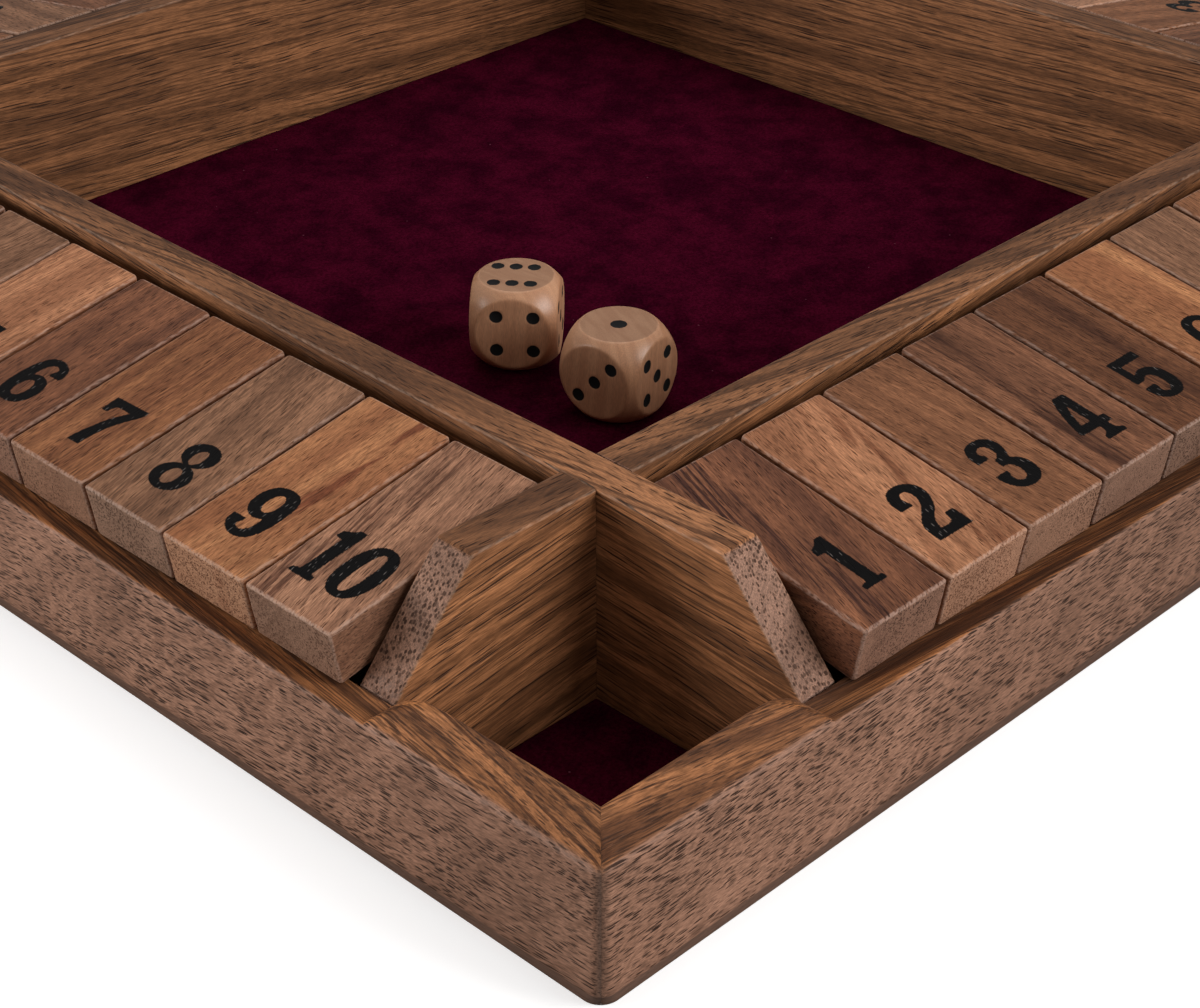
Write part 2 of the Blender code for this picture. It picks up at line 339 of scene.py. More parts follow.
grain, given, made = new_group("plank_grain", {
    "Plank": "Vector", "Main": 1.0, "End": 0.0, "Edge": 0.0, "Dull": 0.0, "Deep": 0.0, "Band": 0.0,
    "Tone": "Color", "Side Tone": "Color", "Late Tone": "Color", "Pore Tone": "Color", "End Tone": "Color",
    "Rub Tone": "Color", "Ring": 6.0, "Ring Strength": 0.6, "Side Rings": 1.0, "Streaks": 0.75, "Swirl": 3.0,
    "Pore Spacing": 0.8, "Pore Length": 12.0, "Pore Size": 0.4, "Pore Strength": 0.8, "Side Pores": 1.0,
    "End Pores": 1.3, "End Share": 0.65, "Fibre Length": 3.5, "Smudge": 0.2, "Rub": 0.3,
}, {"Colour": "Color", "Height": "Float", "Roughness": "Float"})

slow = noise(grain, given["Plank"], (0.022, 0.07, 0.07), detail=1.5, output="Color")
bend = calc(grain, "V_MULTIPLY", calc(grain, "V_SUBTRACT", slow, (0.5, 0.5, 0.5)), (0, 1, 1))
bend = add_node(grain, "VectorMath", {0: bend, "Scale": given["Swirl"]}, operation="SCALE").outputs[0]
bent = add_node(grain, "SeparateXYZ", {0: calc(grain, "V_ADD", given["Plank"], bend)}).outputs


def stretched(along, across_rings, along_rings):
    """The bent plank coordinates, each divided by its own length in millimetres."""
    lengths = (along, across_rings, along_rings)
    parts = [calc(grain, "DIVIDE", bent[i], length) for i, length in enumerate(lengths)]
    return add_node(grain, "CombineXYZ", dict(enumerate(parts))).outputs[0]


rings = ramp(grain, noise(grain, stretched(90.0, given["Ring"], 40.0), detail=4.0, roughness=0.6), 0.38, 0.64)
thin_width = product(grain, given["Ring"], 0.13)
thin_rings = ramp(grain, noise(grain, stretched(38.0, thin_width, 5.0), detail=2.5), 0.46, 0.62)
fibres = noise(grain, stretched(given["Fibre Length"], 0.2, 0.2), detail=3.0, roughness=0.65)
patches = noise(grain, stretched(28.0, 9.0, 9.0), detail=1.0)
smudge = ramp(grain, noise(grain, stretched(9.0, 40.0, 18.0), detail=3.0), 0.45, 0.68)
broken = ramp(grain, noise(grain, stretched(1.5, 0.4, 0.4), detail=3.0), 0.3, 0.65)
on_side = ramp(grain, given["Main"], 0.35, 0.8, 1.0, 0.0)
end = ramp(grain, given["End"], 0.45, 0.85)

# Each pore's cell draws two lots: the first says whether it shows at all, the second how strongly.
pore_shape = stretched(given["Pore Length"], given["Pore Spacing"], given["Pore Spacing"])
cells = add_node(grain, "TexVoronoi", {"Vector": pore_shape, "Scale": 1.0, "Randomness": 0.9}).outputs
wider = between(grain, ramp(grain, given["End"], 0.5, 0.85), 1.0, given["End Pores"])
pore_rim = product(grain, given["Pore Size"], ramp(grain, patches, 0.3, 0.7, 0.85, 1.1), wider)
pores = ramp(grain, calc(grain, "DIVIDE", cells["Distance"], pore_rim), 0.65, 1.05, 1.0, 0.0)
lot = add_node(grain, "SeparateXYZ", {0: cells["Color"]}).outputs
left_out = product(grain, end, rest(grain, given["End Share"]))
drawn = calc(grain, "SUBTRACT", calc(grain, "SUBTRACT", 1.1, lot[0]), left_out)
pores = product(grain, pores, ramp(grain, drawn, 0.0, 0.2), ramp(grain, lot[1], 0.0, 1.0, 0.65, 1.0))

late = calc(grain, "MAXIMUM", product(grain, rings, 0.75), product(grain, thin_rings, given["Streaks"]))
late = product(grain, late, given["Ring Strength"], ramp(grain, end, 0.0, 1.0, 1.0, 0.25),
               between(grain, on_side, 1.0, given["Side Rings"]))
uneven = ramp(grain, calc(grain, "ADD", thin_rings, patches), 0.3, 1.1, 0.35, 1.0)
band = product(grain, given["Band"], uneven, ramp(grain, end, 0.0, 1.0, 1.0, 0.4))
late = calc(grain, "MINIMUM", calc(grain, "ADD", late, band), 0.95)

tone = blend(grain, on_side, given["Tone"], given["Side Tone"])
tone = blend(grain, product(grain, end, 0.8), tone, given["End Tone"])
tone = blend(grain, late, tone, given["Late Tone"])
tone = tinted(grain, tone, ramp(grain, fibres, 0.28, 0.72, 0.58, 1.42))
tone = tinted(grain, tone, rest(grain, product(grain, smudge, given["Smudge"])))
tone = tinted(grain, tone, rest(grain, given["Deep"]))
dark = blend(grain, product(grain, end, 0.10), given["Pore Tone"], given["End Tone"])
# Painted shade: where a piece stores it, its pores show less and its tone is pulled towards the shade tone.
shown = product(grain, pores, given["Pore Strength"], between(grain, on_side, 1.0, given["Side Pores"]),
                ramp(grain, given["Dull"], 0.0, 1.0, 1.0, 0.35))
tone = blend(grain, shown, tone, dark)
tone = blend(grain, product(grain, given["Dull"], 0.6), tone, SHADE_TONE)
# Eased edges turn pale: wear, and a painted highlight.
tone = blend(grain, product(grain, given["Edge"], broken, given["Rub"]), tone, given["Rub Tone"])

height = calc(grain, "SUBTRACT", product(grain, fibres, 0.35), pores)
rough = calc(grain, "ADD", ramp(grain, fibres, 0.2, 0.8, 0.46, 0.62), product(grain, pores, 0.2))
for label, socket in (("Colour", tone), ("Height", height), ("Roughness", rough)):
    grain.links.new(socket, made[label])
print(len(grain.nodes), "nodes in the grain")


# %% A wood material from the grain
INK = srgb(6, 4, 4)
BARE_WOOD = srgb(150, 140, 135)


def stamped(tree, colour, plank):
    """Black ink over a wood colour wherever the stored distance to the figure's outline is negative. The
    outline is a little ragged, and pale flecks of bare wood are left where the stamp didn't reach."""
    ragged = ramp(tree, noise(tree, plank, (3.0, 5.0, 5.0)), 0.2, 0.8, -0.10, 0.10)
    reach = calc(tree, "ADD", stored(tree, "ink")["ink"]["Fac"], ragged)
    dashes = calc(tree, "V_MULTIPLY", plank, (0.42, 2.9, 2.9))
    cells = add_node(tree, "TexVoronoi", {"Vector": dashes, "Scale": 1.0}).outputs
    fleck = ramp(tree, cells["Distance"], 0.14, 0.22, 1.0, 0.0)
    where = ramp(tree, noise(tree, plank, (0.25, 0.5, 0.5)), 0.42, 0.56)
    ink = blend(tree, product(tree, fleck, where, 0.55), INK, BARE_WOOD)
    return blend(tree, ramp(tree, reach, -0.07, 0.07, 1.0, 0.0), colour, ink)


def dark_band(tree, across, plank):
    """A dark stripe along a tile. The stored vector gives the distance from its middle in stripe widths,
    and its strength. A noise makes its sides uneven."""
    across = add_node(tree, "SeparateXYZ", {0: across}).outputs
    uneven = ramp(tree, noise(tree, plank, (0.07, 0.5, 0.5), detail=3.0), 0.2, 0.8, -0.8, 0.8)
    off_middle = calc(tree, "ABSOLUTE", calc(tree, "ADD", across[0], uneven))
    return product(tree, ramp(tree, off_middle, 0.25, 1.2, 1.0, 0.0), across[1])


def wood(name, own_tone=False, specular=0.18, **values):
    """Oiled wood. With its own tones, a piece brings a light and a dark one that the others follow."""
    material, tree, shader = new_material(name, specular_ior_level=specular)
    read = stored(tree, "plank", "main", "end", "edge", "dull", "deep", "tone", "streak", "band")
    plank = read["plank"]["Vector"]
    inputs = {key.title(): read[key]["Fac"] for key in ("main", "end", "edge", "dull", "deep")}
    inputs["Plank"] = plank
    if own_tone:
        light, dark = read["tone"]["Color"], read["streak"]["Color"]
        inputs.update({"Tone": light, "Side Tone": blend(tree, 0.25, light, dark), "Late Tone": dark,
                       "Pore Tone": blend(tree, 1.0, dark, (0.36, 0.32, 0.30, 1.0), "MULTIPLY"),
                       "Rub Tone": blend(tree, 0.45, light, srgb(215, 190, 175)),
                       "End Tone": blend(tree, 0.50, light, srgb(150, 128, 114)),
                       "Band": dark_band(tree, read["band"]["Vector"], plank)})
    inputs.update({key.replace("_", " ").title(): value for key, value in values.items()})
    out = add_node(tree, "Group", inputs, node_tree=grain).outputs
    colour = stamped(tree, out["Colour"], plank) if own_tone else out["Colour"]
    set_inputs(tree, shader, {"Base Color": colour, "Roughness": out["Roughness"]})
    relief(tree, shader, out["Height"], strength=0.6, depth=0.10)
    return material


# The rail's upright faces are greyer and pinker than the orange of its top: painted sheen on the upright
# faces.
rail_wood = wood(
    "rail_wood", tone=srgb(165, 122, 99), side_tone=srgb(181, 118, 72), late_tone=srgb(78, 46, 29),
    pore_tone=srgb(48, 30, 21), end_tone=srgb(140, 112, 98), rub_tone=srgb(175, 140, 120), ring=3.0,
    ring_strength=0.42, swirl=3.0, pore_spacing=0.37, pore_length=14.0, pore_size=0.45, pore_strength=1.0,
    smudge=0.14, rub=0.05, side_rings=3.0, side_pores=0.7, end_pores=1.0)
board_wood = wood(
    "board_wood", tone=srgb(176, 118, 77), side_tone=srgb(155, 104, 69), late_tone=srgb(62, 36, 21),
    pore_tone=srgb(56, 33, 20), end_tone=srgb(164, 132, 118), rub_tone=srgb(196, 164, 140), ring=3.4,
    ring_strength=0.9, swirl=2.5, pore_spacing=0.52, pore_length=24.0, pore_size=0.33, pore_strength=1.0,
    smudge=0.1, rub=0.28, side_rings=1.15, end_pores=2.0)
tile_wood = wood(
    "tile_wood", own_tone=True, specular=0.09, ring=3.2, ring_strength=0.85, swirl=3.0, pore_spacing=0.30,
    pore_length=4.2, pore_size=0.29, pore_strength=0.95, smudge=0.15, rub=0.7, end_pores=2.2,
    fibre_length=2.0, streaks=0.6, end_share=0.32)
print("three woods from one grain")

# %% [markdown]
# ## A section carried along a length
#
# Rails and boards are both long sticks: one section, carried along X, whose top is lower in some places
# than in others. The section is a list of columns. Each column has a depth into the stick, a foot height,
# and a share that says how far it has climbed from the foot to the top. Only the top depends on X.

# %% The carried section
FILLET_STEPS = 5


def column_set(depth, foot, share, drop, edge):
    """Columns of a section as one array each: depth, foot height, share of the climb, drop, and edge."""
    return np.broadcast_arrays(*(np.asarray(v, float) for v in (depth, foot, share, drop, edge)))


def rounded_rise(thickness, radius_first, radius_last, foot_first, foot_last, wall_steps=4, top_steps=8):
    """The columns of a section from the foot of its first wall, up, over the top and down its last wall.
    Each top edge is a quarter circle, so at a depth d that is less than its radius r, the top has dropped
    by the radius less sqrt(r^2 - (r-d)^2)."""
    angle = np.linspace(0, math.pi / 2, FILLET_STEPS + 1)
    climb = np.linspace(0, 1, wall_steps + 1)[:-1]
    flat = np.linspace(radius_first, thickness - radius_last, top_steps + 1)[1:-1]
    inwards, drop, edge = 1 - np.cos(angle), 1 - np.sin(angle), np.sin(2 * angle)
    first = column_set(radius_first * inwards, foot_first, 1, radius_first * drop, edge)
    last = column_set(thickness - radius_last * inwards[::-1], foot_last, 1, radius_last * drop[::-1], edge)
    up = column_set(0, foot_first, climb, radius_first * climb, 0)
    across = column_set(flat, 0, 1, 0, 0)
    down = column_set(thickness, foot_last, climb[::-1], radius_last * climb[::-1], 0)
    return [np.concatenate(parts) for parts in zip(up, first, across, last, down)]


def carry(stations, columns, top, shear=None):
    """Carries a section along X. At station x, a column stands at depth d, and its height is foot + share *
    (top(x, d) - foot) - drop. Shear shortens the stick with depth, as at a mitre."""
    depth, foot, share, drop, edge = columns
    x = stations[:, None] + np.zeros_like(depth)[None, :]
    if shear is not None:
        x = np.sign(x) * (abs(x) - depth[None, :] * shear(abs(x)))
    z = foot + share * (top(x, depth[None, :]) - foot) - drop
    y = np.broadcast_to(depth[None, :], x.shape)
    return np.stack([x, y, z], -1), np.broadcast_to(edge[None, :], x.shape)


def capped(rows, columns):
    """The faces of a carried section, with a face over each end."""
    ends = [list(range(columns)), list(range((rows - 1) * columns, rows * columns))]
    return list(grid_quads(rows, columns)) + ends


# %% [markdown]
# ## The four rails
#
# Each rail is mitred at both ends. Its top slopes down outwards, and where the tiles lie, a round cutter
# has scooped it down to a ledge, which leaves a soft shoulder at each corner of the box. The ledge is level
# under the tiles and rises a little at the outer edge. The bottom outer edge is relieved, and the corners
# of the box are rubbed round. Shade is painted on the ledge, on the relieved foot and at the corners.

# %% Rails
SHOULDER_RADIUS = 14 * MM
RAIL_EDGE = 0.9 * MM
RAIL_INNER_EDGE = 0.5 * MM
FOOT_HEIGHT = 4.5 * MM
FOOT_DEPTH = 2.2 * MM
RABBET = 4.0 * MM
CORNER_ROUND = 2.0 * MM
FOOT_ROUND = 1.2 * MM
MITRE_GAP = 0.02 * MM
LEDGE_RISE_RUN = 4.2 * MM
SHOULDER_ROUND = 0.5 * MM
MITRE_START = 120 * MM
FOOT_COLUMNS = 5
# How the painted shade fades at the corners, how strong it is on the ledge, and where it ends there.
CORNER_SHADE_FADE = 1.5
LEDGE_SHADE = 0.25
LEDGE_SHADE_END = BOARD_OUTER + 4.5 * MM
LEDGE_SHADE_FADE = 4 * MM
SHOULDER_START = BOARD_OUTER + math.sqrt(
    SHOULDER_RADIUS ** 2 - (SHOULDER_RADIUS - (RAIL_INNER_HEIGHT - LEDGE_HEIGHT)) ** 2)


def soft_min(a, b, reach):
    """The lesser of two heights, with the corner between them rounded over the given reach."""
    h = np.clip(0.5 + 0.5 * (b - a) / reach, 0, 1)
    return a * h + b * (1 - h) - reach * h * (1 - h)


def rail_top(x, depth):
    """The height of a rail's top. It is the lesser of the slope, which falls evenly outwards, and the
    scoop, a circle of the shoulder's radius that hangs from the inner height down to the ledge. The ledge
    is level under the tiles, and past their ends it rises to the slope's height at the outer edge."""
    slope = RAIL_OUTER_HEIGHT + (RAIL_INNER_HEIGHT - RAIL_OUTER_HEIGHT) * depth / RAIL_THICKNESS
    run = np.clip(SHOULDER_START - abs(x), 0, SHOULDER_RADIUS)
    arc = RAIL_INNER_HEIGHT - SHOULDER_RADIUS + np.sqrt(SHOULDER_RADIUS ** 2 - run ** 2)
    ledge = LEDGE_HEIGHT + (RAIL_OUTER_HEIGHT - LEDGE_HEIGHT) * np.clip(1 - depth / LEDGE_RISE_RUN, 0, 1)
    scoop = np.where(abs(x) > SHOULDER_START, RAIL_INNER_HEIGHT + 1 * MM, np.maximum(arc, ledge))
    return soft_min(slope, scoop, SHOULDER_ROUND)


def rail_stations():
    """Even steps along the ledge, and finer ones over the shoulders and near the mitres."""
    half = np.concatenate([np.linspace(0, 98, 50), np.linspace(100, 118, 61), np.linspace(119, 143, 25),
                           np.linspace(143.5, RAIL_OUTER / MM, 27)]) * MM
    return np.concatenate([-half[:0:-1], half])


def rail_columns():
    """The relieved foot, the outer wall, the top, the inner wall and the rabbet for the base panel."""
    rise = rounded_rise(RAIL_THICKNESS, RAIL_EDGE, RAIL_INNER_EDGE, FOOT_HEIGHT, FLOOR_HEIGHT, wall_steps=8,
                        top_steps=12)
    bow = np.array([0, 0.25, 0.5, 0.75, 0.9, 0.97])
    relieved = column_set(FOOT_DEPTH * (1 - bow) + 0.06 * MM * (bow > 0.8), FOOT_HEIGHT * bow, 0, 0, 0)
    rabbet = column_set([RABBET, RABBET], [FLOOR_HEIGHT, 0], 0, 0, 0)
    return [np.concatenate(parts) for parts in zip(relieved, rise, rabbet)]


def round_corner(points):
    """Rounds the corner of the box, seen from above. A point that stands out by o lies on a square whose
    corner is rounded by r, so past the centre of the rounding, o - r, it is pulled in until it is r away.
    The radius is greatest at the foot, and it fades with the depth into the rail."""
    out = abs(points[..., :2]).max(-1, keepdims=True)
    radius = CORNER_ROUND + FOOT_ROUND * np.clip(1 - points[..., 2:] / (1.4 * FOOT_HEIGHT), 0, 1)
    radius = np.maximum(radius * np.clip(1 - (RAIL_OUTER - out - FOOT_DEPTH) / (2 * MM), 0, 1), WELD)
    centre = out - radius
    past = np.maximum(abs(points[..., :2]) - centre, 0)
    length = np.linalg.norm(past, axis=-1, keepdims=True)
    beyond = (length > radius) & (past > 0).all(-1, keepdims=True)
    pulled = np.sign(points[..., :2]) * (centre + past * radius / np.maximum(length, WELD))
    return np.concatenate([np.where(beyond, pulled, points[..., :2]), points[..., 2:]], -1)


def mitre(x):
    """How much the rail is shortened at x for each bit of depth: nothing at first, and 1 at its end."""
    return np.clip((x - MITRE_START) / (RAIL_OUTER - MITRE_START), 0, 1)


def rail_grime(points):
    """How much painted shade each point of a rail gets: all over the relieved foot, along the upright edge at
    the corner of the box, and on the ledge as a thin layer that fades out at the shoulders."""
    inset = (RAIL_OUTER - abs(points[..., :2])) / MM
    # Painted shade along the upright edge at the corner of the box, and in full on the relieved foot, which
    # faces down.
    near_corner = np.clip(1.2 - inset[..., 0] / CORNER_SHADE_FADE, 0, 0.8)
    corner_and_foot_shade = near_corner * np.clip(1.6 - inset[..., 1] / CORNER_SHADE_FADE, 0, 1)
    corner_and_foot_shade[:, :FOOT_COLUMNS] = 1
    # A thin painted shade on the ledge, fading out at the shoulders.
    on_top = (points[..., 2] > LEDGE_HEIGHT - 1 * MM) & (inset[..., 1] > 1)
    shade_on_ledge = LEDGE_SHADE * np.clip((LEDGE_SHADE_END - abs(points[..., 0])) / LEDGE_SHADE_FADE, 0, 1)
    return np.where(on_top, np.maximum(corner_and_foot_shade, shade_on_ledge), corner_and_foot_shade)


def build_rail(side, angle, turn, dive, seed_mm):
    """One rail, built at the front and turned to its side."""
    stations, columns = rail_stations(), rail_columns()
    points, edge = carry(stations, columns, rail_top, shear=mitre)
    points = points + (0, -RAIL_OUTER, 0)
    points[..., 0] *= (RAIL_OUTER - MITRE_GAP) / RAIL_OUTER
    points = round_corner(points)
    faces = capped(len(stations), len(columns[0]))
    mesh = skin("rail_wood_" + side, points, faces, edge=edge, dull=rail_grime(points))
    cut_from_plank(mesh, (1, 0, 0), (0, -1, 0), turn=turn, dive=dive, ring=8, place_mm=seed_mm)
    store(mesh, "deep", np.interp(mesh_points(mesh)[:, 0], *RAIL_DEPTH[side]))
    move_to(mesh, turn_z(mesh_points(mesh), angle))
    return place(mesh, "wood_rail_" + side, rail_wood, "box", "rail_" + side)


RAIL_DEPTH = {
    "front": ((-80 * MM, -30 * MM), (0.0, 0.22)), "left": ((110 * MM, 145 * MM), (0.0, 0.18)),
    "back": ((0, 1), (0, 0)), "right": ((0, 1), (0, 0)),
}
RAIL_CUTS = {
    "front": (1, 8, (10, 3, 40)), "left": (4, 7, (300, 20, 7)),
    "back": (2, 9, (700, 9, 90)), "right": (-3, 11, (1100, 31, 55)),
}
for side, angle in SIDES.items():
    rail = build_rail(side, angle, *RAIL_CUTS[side])
print("rail", len(rail.data.polygons), "faces")

# %% [markdown]
# ## The four inner boards
#
# They cross in pairs. The left and right ones run through on top, and the front and back ones are notched
# from above to let them pass. Past the tray each board goes on as a divider, cut at a slant down to the
# rail.

# %% Boards
BOARD_EDGE = 0.45 * MM
# Strength of the painted shade behind the row of tiles, and how it fades.
SHADE_BEHIND_TILES = 0.22
BEHIND_FADE = 3 * MM
NEAR_FACE = 0.3 * MM
SLANT_RUN = 15.2 * MM
SLANT_ROUND = 0.5 * MM
LAP_PLAY = 0.05 * MM


def board_top_line(x):
    """The height of a board's top edge: level, then a straight slant down to the ledge's height."""
    slant = LEDGE_HEIGHT + (BOARD_END - abs(x)) * (BOARD_TOP - LEDGE_HEIGHT) / SLANT_RUN
    return soft_min(np.full_like(x, BOARD_TOP), slant, SLANT_ROUND)


def board_stations():
    """Steps along a board, with a pair of them at each side of each notch, where its height jumps."""
    slant = (BOARD_END - SLANT_RUN) / MM
    notch = [TRAY_HALF / MM - 0.1, TRAY_HALF / MM, BOARD_OUTER / MM, BOARD_OUTER / MM + 0.1]
    half = np.concatenate([np.linspace(0, 95, 39), notch, np.linspace(105, slant - 1.5, 8),
                           np.linspace(slant - 1.2, slant + 1.2, 13),
                           np.linspace(slant + 1.5, BOARD_END / MM, 9)]) * MM
    return np.concatenate([-half[:0:-1], half])


def lapped(x):
    """Where another board crosses this one."""
    return (abs(x) >= TRAY_HALF - LAP_PLAY) & (abs(x) <= BOARD_OUTER + LAP_PLAY)


def board_depth(points, even, along_top):
    """How much a board's wood is darkened at each point: evenly, more behind the row of tiles as painted
    shade, and on the top by shares that are given for one end, the middle and the other end."""
    # Painted shade on the face behind the row of tiles.
    behind = np.clip((BOARD_OUTER - BOARD_THICKNESS - abs(points[:, 0])) / BEHIND_FADE, 0, 1)
    behind = behind * (points[:, 1] < -BOARD_OUTER + NEAR_FACE)
    on_top = points[:, 2] > BOARD_TOP - NEAR_FACE
    top_share = np.interp(points[:, 0], (-BOARD_END, 0, BOARD_END), along_top)
    return even + SHADE_BEHIND_TILES * behind + on_top * top_share


def build_board(side, angle, turn, deep, seed_mm):
    """A board whose notches are cut from above on the front and back, and from below on the other two."""
    notched_top = side in ("front", "back")
    middle = (FLOOR_HEIGHT + BOARD_TOP) / 2
    stations = board_stations()
    columns = rounded_rise(BOARD_THICKNESS, BOARD_EDGE, BOARD_EDGE, FLOOR_HEIGHT, FLOOR_HEIGHT,
                           wall_steps=6)

    def top(x, depth):
        return np.where(lapped(x) & notched_top, middle, board_top_line(x)) + 0 * depth

    points, edge = carry(stations, columns, top)
    points = points + (0, -BOARD_OUTER, 0)
    if not notched_top:
        raised = np.maximum(points[..., 2], middle)
        points[..., 2] = np.where(lapped(points[..., 0]), raised, points[..., 2])
    mesh = skin("board_wood_" + side, points, capped(len(stations), len(columns[0])), edge=edge)
    cut_from_plank(mesh, (1, 0, 0), (0, -1, 0), turn=turn, dive=2.0, ring=60, place_mm=seed_mm)
    store(mesh, "deep", board_depth(mesh_points(mesh), *deep))
    move_to(mesh, turn_z(mesh_points(mesh), angle))
    return place(mesh, "wood_board_" + side, board_wood, "box", "board_" + side)


BOARD_CUTS = {
    "front": (6, (0.0, (-0.05, 0.05, 0.1)), (2100, 5, 3)),
    "left": (-5, (0.0, (0.13, 0.08, -0.42)), (2500, 14, 60)),
    "back": (3, (0.28, (0, 0, 0)), (2900, 22, 30)),
    "right": (-4, (0.18, (0, 0, 0)), (3300, 40, 12)),
}
for side, angle in SIDES.items():
    board = build_board(side, angle, *BOARD_CUTS[side])
print("board", len(board.data.polygons), "faces")

# %% [markdown]
# ## The forty tiles
#
# A tile is a block with a hole for the rod. The grid that fits it is a ring: columns go around the block's
# outline, rows go across its width, down the side face to the hole, through the hole and back out. So the
# hole and the block are one closed surface with no seams. The edges are eased by a small radius that
# wanders a little, as on pieces that are sanded by hand.

# %% Tile shape
tile_low, tile_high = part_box("tile_front_01")
TILE_WIDTH = tile_high.x - tile_low.x
TILE_LENGTH = 41.0 * MM
TILE_THICKNESS = 9.4 * MM
TILE_SLOPE = math.radians(9.6)
ROD_INSET = 4.9 * MM
BORE_RADIUS = 1.7 * MM
TILE_EDGE = 0.55 * MM
INNER_ROUND = 0.75 * MM
TILE_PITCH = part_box("tile_front_02")[0].x - tile_low.x
FIRST_TILE = (tile_low.x + tile_high.x) / 2
FIGURE_STEPS = 48
FIGURE_FROM, FIGURE_TO = 4.6 * MM, 19.4 * MM
FIGURE_CELL = 0.3 * MM
FIGURE_WIDTH, TEN_WIDTH = 9.2 * MM, 15.6 * MM


def tile_outline():
    """The block's outline seen from the side, as points and outward normals. The first number runs outwards
    from the rod and the second up. The numbered stretch of the top has a point for each 0.3 mm, the other
    stretches one for each 1 to 3 mm, and each corner is a quarter circle."""
    inner, outer = -ROD_INSET, TILE_LENGTH - ROD_INSET
    half = TILE_THICKNESS / 2
    corner = np.linspace(0, math.pi / 2, 5)
    under = np.linspace(inner + TILE_EDGE, outer - TILE_EDGE, 16)
    rise = np.linspace(-half + TILE_EDGE, half - TILE_EDGE, 7)
    over = np.concatenate([[outer - TILE_EDGE, outer - 2 * MM],
                           outer - np.linspace(FIGURE_FROM, FIGURE_TO, FIGURE_STEPS),
                           np.linspace(outer - FIGURE_TO, inner + TILE_EDGE, 9)[1:]])
    walls = [(np.stack([under, np.full_like(under, -half)], -1), (0, -1)),
             (np.stack([np.full_like(rise, outer), rise], -1), (1, 0)),
             (np.stack([over, np.full_like(over, half)], -1), (0, 1)),
             (np.stack([np.full_like(rise, inner), rise[::-1]], -1), (-1, 0))]
    parts, normals = [], []
    for i, (wall, normal) in enumerate(walls):
        parts.append(wall)
        normals.append(np.broadcast_to(normal, wall.shape))
        turn = corner[1:-1] - math.pi / 2 + i * math.pi / 2
        arc = np.stack([np.cos(turn), np.sin(turn)], -1)
        centre = wall[-1] - TILE_EDGE * np.array(normal)
        parts.append(centre + TILE_EDGE * arc)
        normals.append(arc)
    return np.concatenate(parts), np.concatenate(normals)


def wander(values, seed):
    """A smooth curve between -1 and 1: three sine waves whose lengths don't match."""
    return sum(np.sin(values * rate + seed * shift) for rate, shift in ((41, 1), (97, 2.3), (16, 4.1))) / 3


def tile_grid(seed, figure_width):
    """The ring grid of one tile about its rod, level, with its numbered face up. X runs across the tile, y
    outwards and z up. A row at angle a of the side's easing stands at x = w/2 - r + r sin(a), and its
    outline is inset by r (1 - cos(a))."""
    outline, normal = tile_outline()
    count = len(outline)
    travel = np.linspace(0, 1, count, endpoint=False)
    radius = TILE_EDGE + INNER_ROUND * np.clip(-normal[:, 0], 0, 1) ** 2
    radius = radius * (1 + 0.3 * wander(travel, seed))
    polar = np.arctan2(outline[:, 1], outline[:, 0])
    bore = BORE_RADIUS * np.stack([np.cos(polar), np.sin(polar)], -1)
    corner_edge = np.clip(2 * abs(normal).min(1) / 0.7, 0, 1)
    half = TILE_WIDTH / 2
    fine = np.linspace(-figure_width / 2, figure_width / 2, int(figure_width / FIGURE_CELL) + 1)
    fine = fine / (half - TILE_EDGE)
    shares = np.concatenate([np.linspace(-1, fine[0], 4)[1:-1], fine, np.linspace(fine[-1], 1, 4)[1:-1]])
    easing = np.linspace(0, math.pi / 2, FILLET_STEPS)
    eased = [(radius * (1 - math.sin(a)), radius * (1 - math.cos(a)), math.sin(2 * a)) for a in easing]
    rows = [(-half + back, inset, edge, 0.0) for back, inset, edge in eased[::-1]]
    rows += [((half - radius) * share, 0 * radius, 0.0, 0.0) for share in shares]
    rows += [(half - back, inset, edge, 0.0) for back, inset, edge in eased]
    rows += [(np.full(count, half), radius, 0.0, toward) for toward in (0.35, 0.7, 1.0)]
    rows += [(np.full(count, -half), radius, 0.0, toward) for toward in (1.0, 0.7, 0.35)]
    points, edges = [], []
    for x, inset, edge, toward in rows:
        flat = (outline - normal * inset[:, None]) * (1 - toward) + bore * toward
        points.append(np.column_stack([x, flat]))
        edges.append(np.maximum(edge, corner_edge * (toward == 0)))
    return np.array(points), np.array(edges)


# %% [markdown]
# ## The numerals
#
# They are bold figures with slab serifs, stamped in black ink. Each one is drawn as an outline, in
# millimetres from the middle of its base line. An outline is smooth through most of its points and turns
# sharply at those that are marked as corners. Ink soaks in, so a figure isn't a piece of its own: each
# point of a tile's face stores how far it lies outside the figure's outline, and the wood's material turns
# black where that is negative.

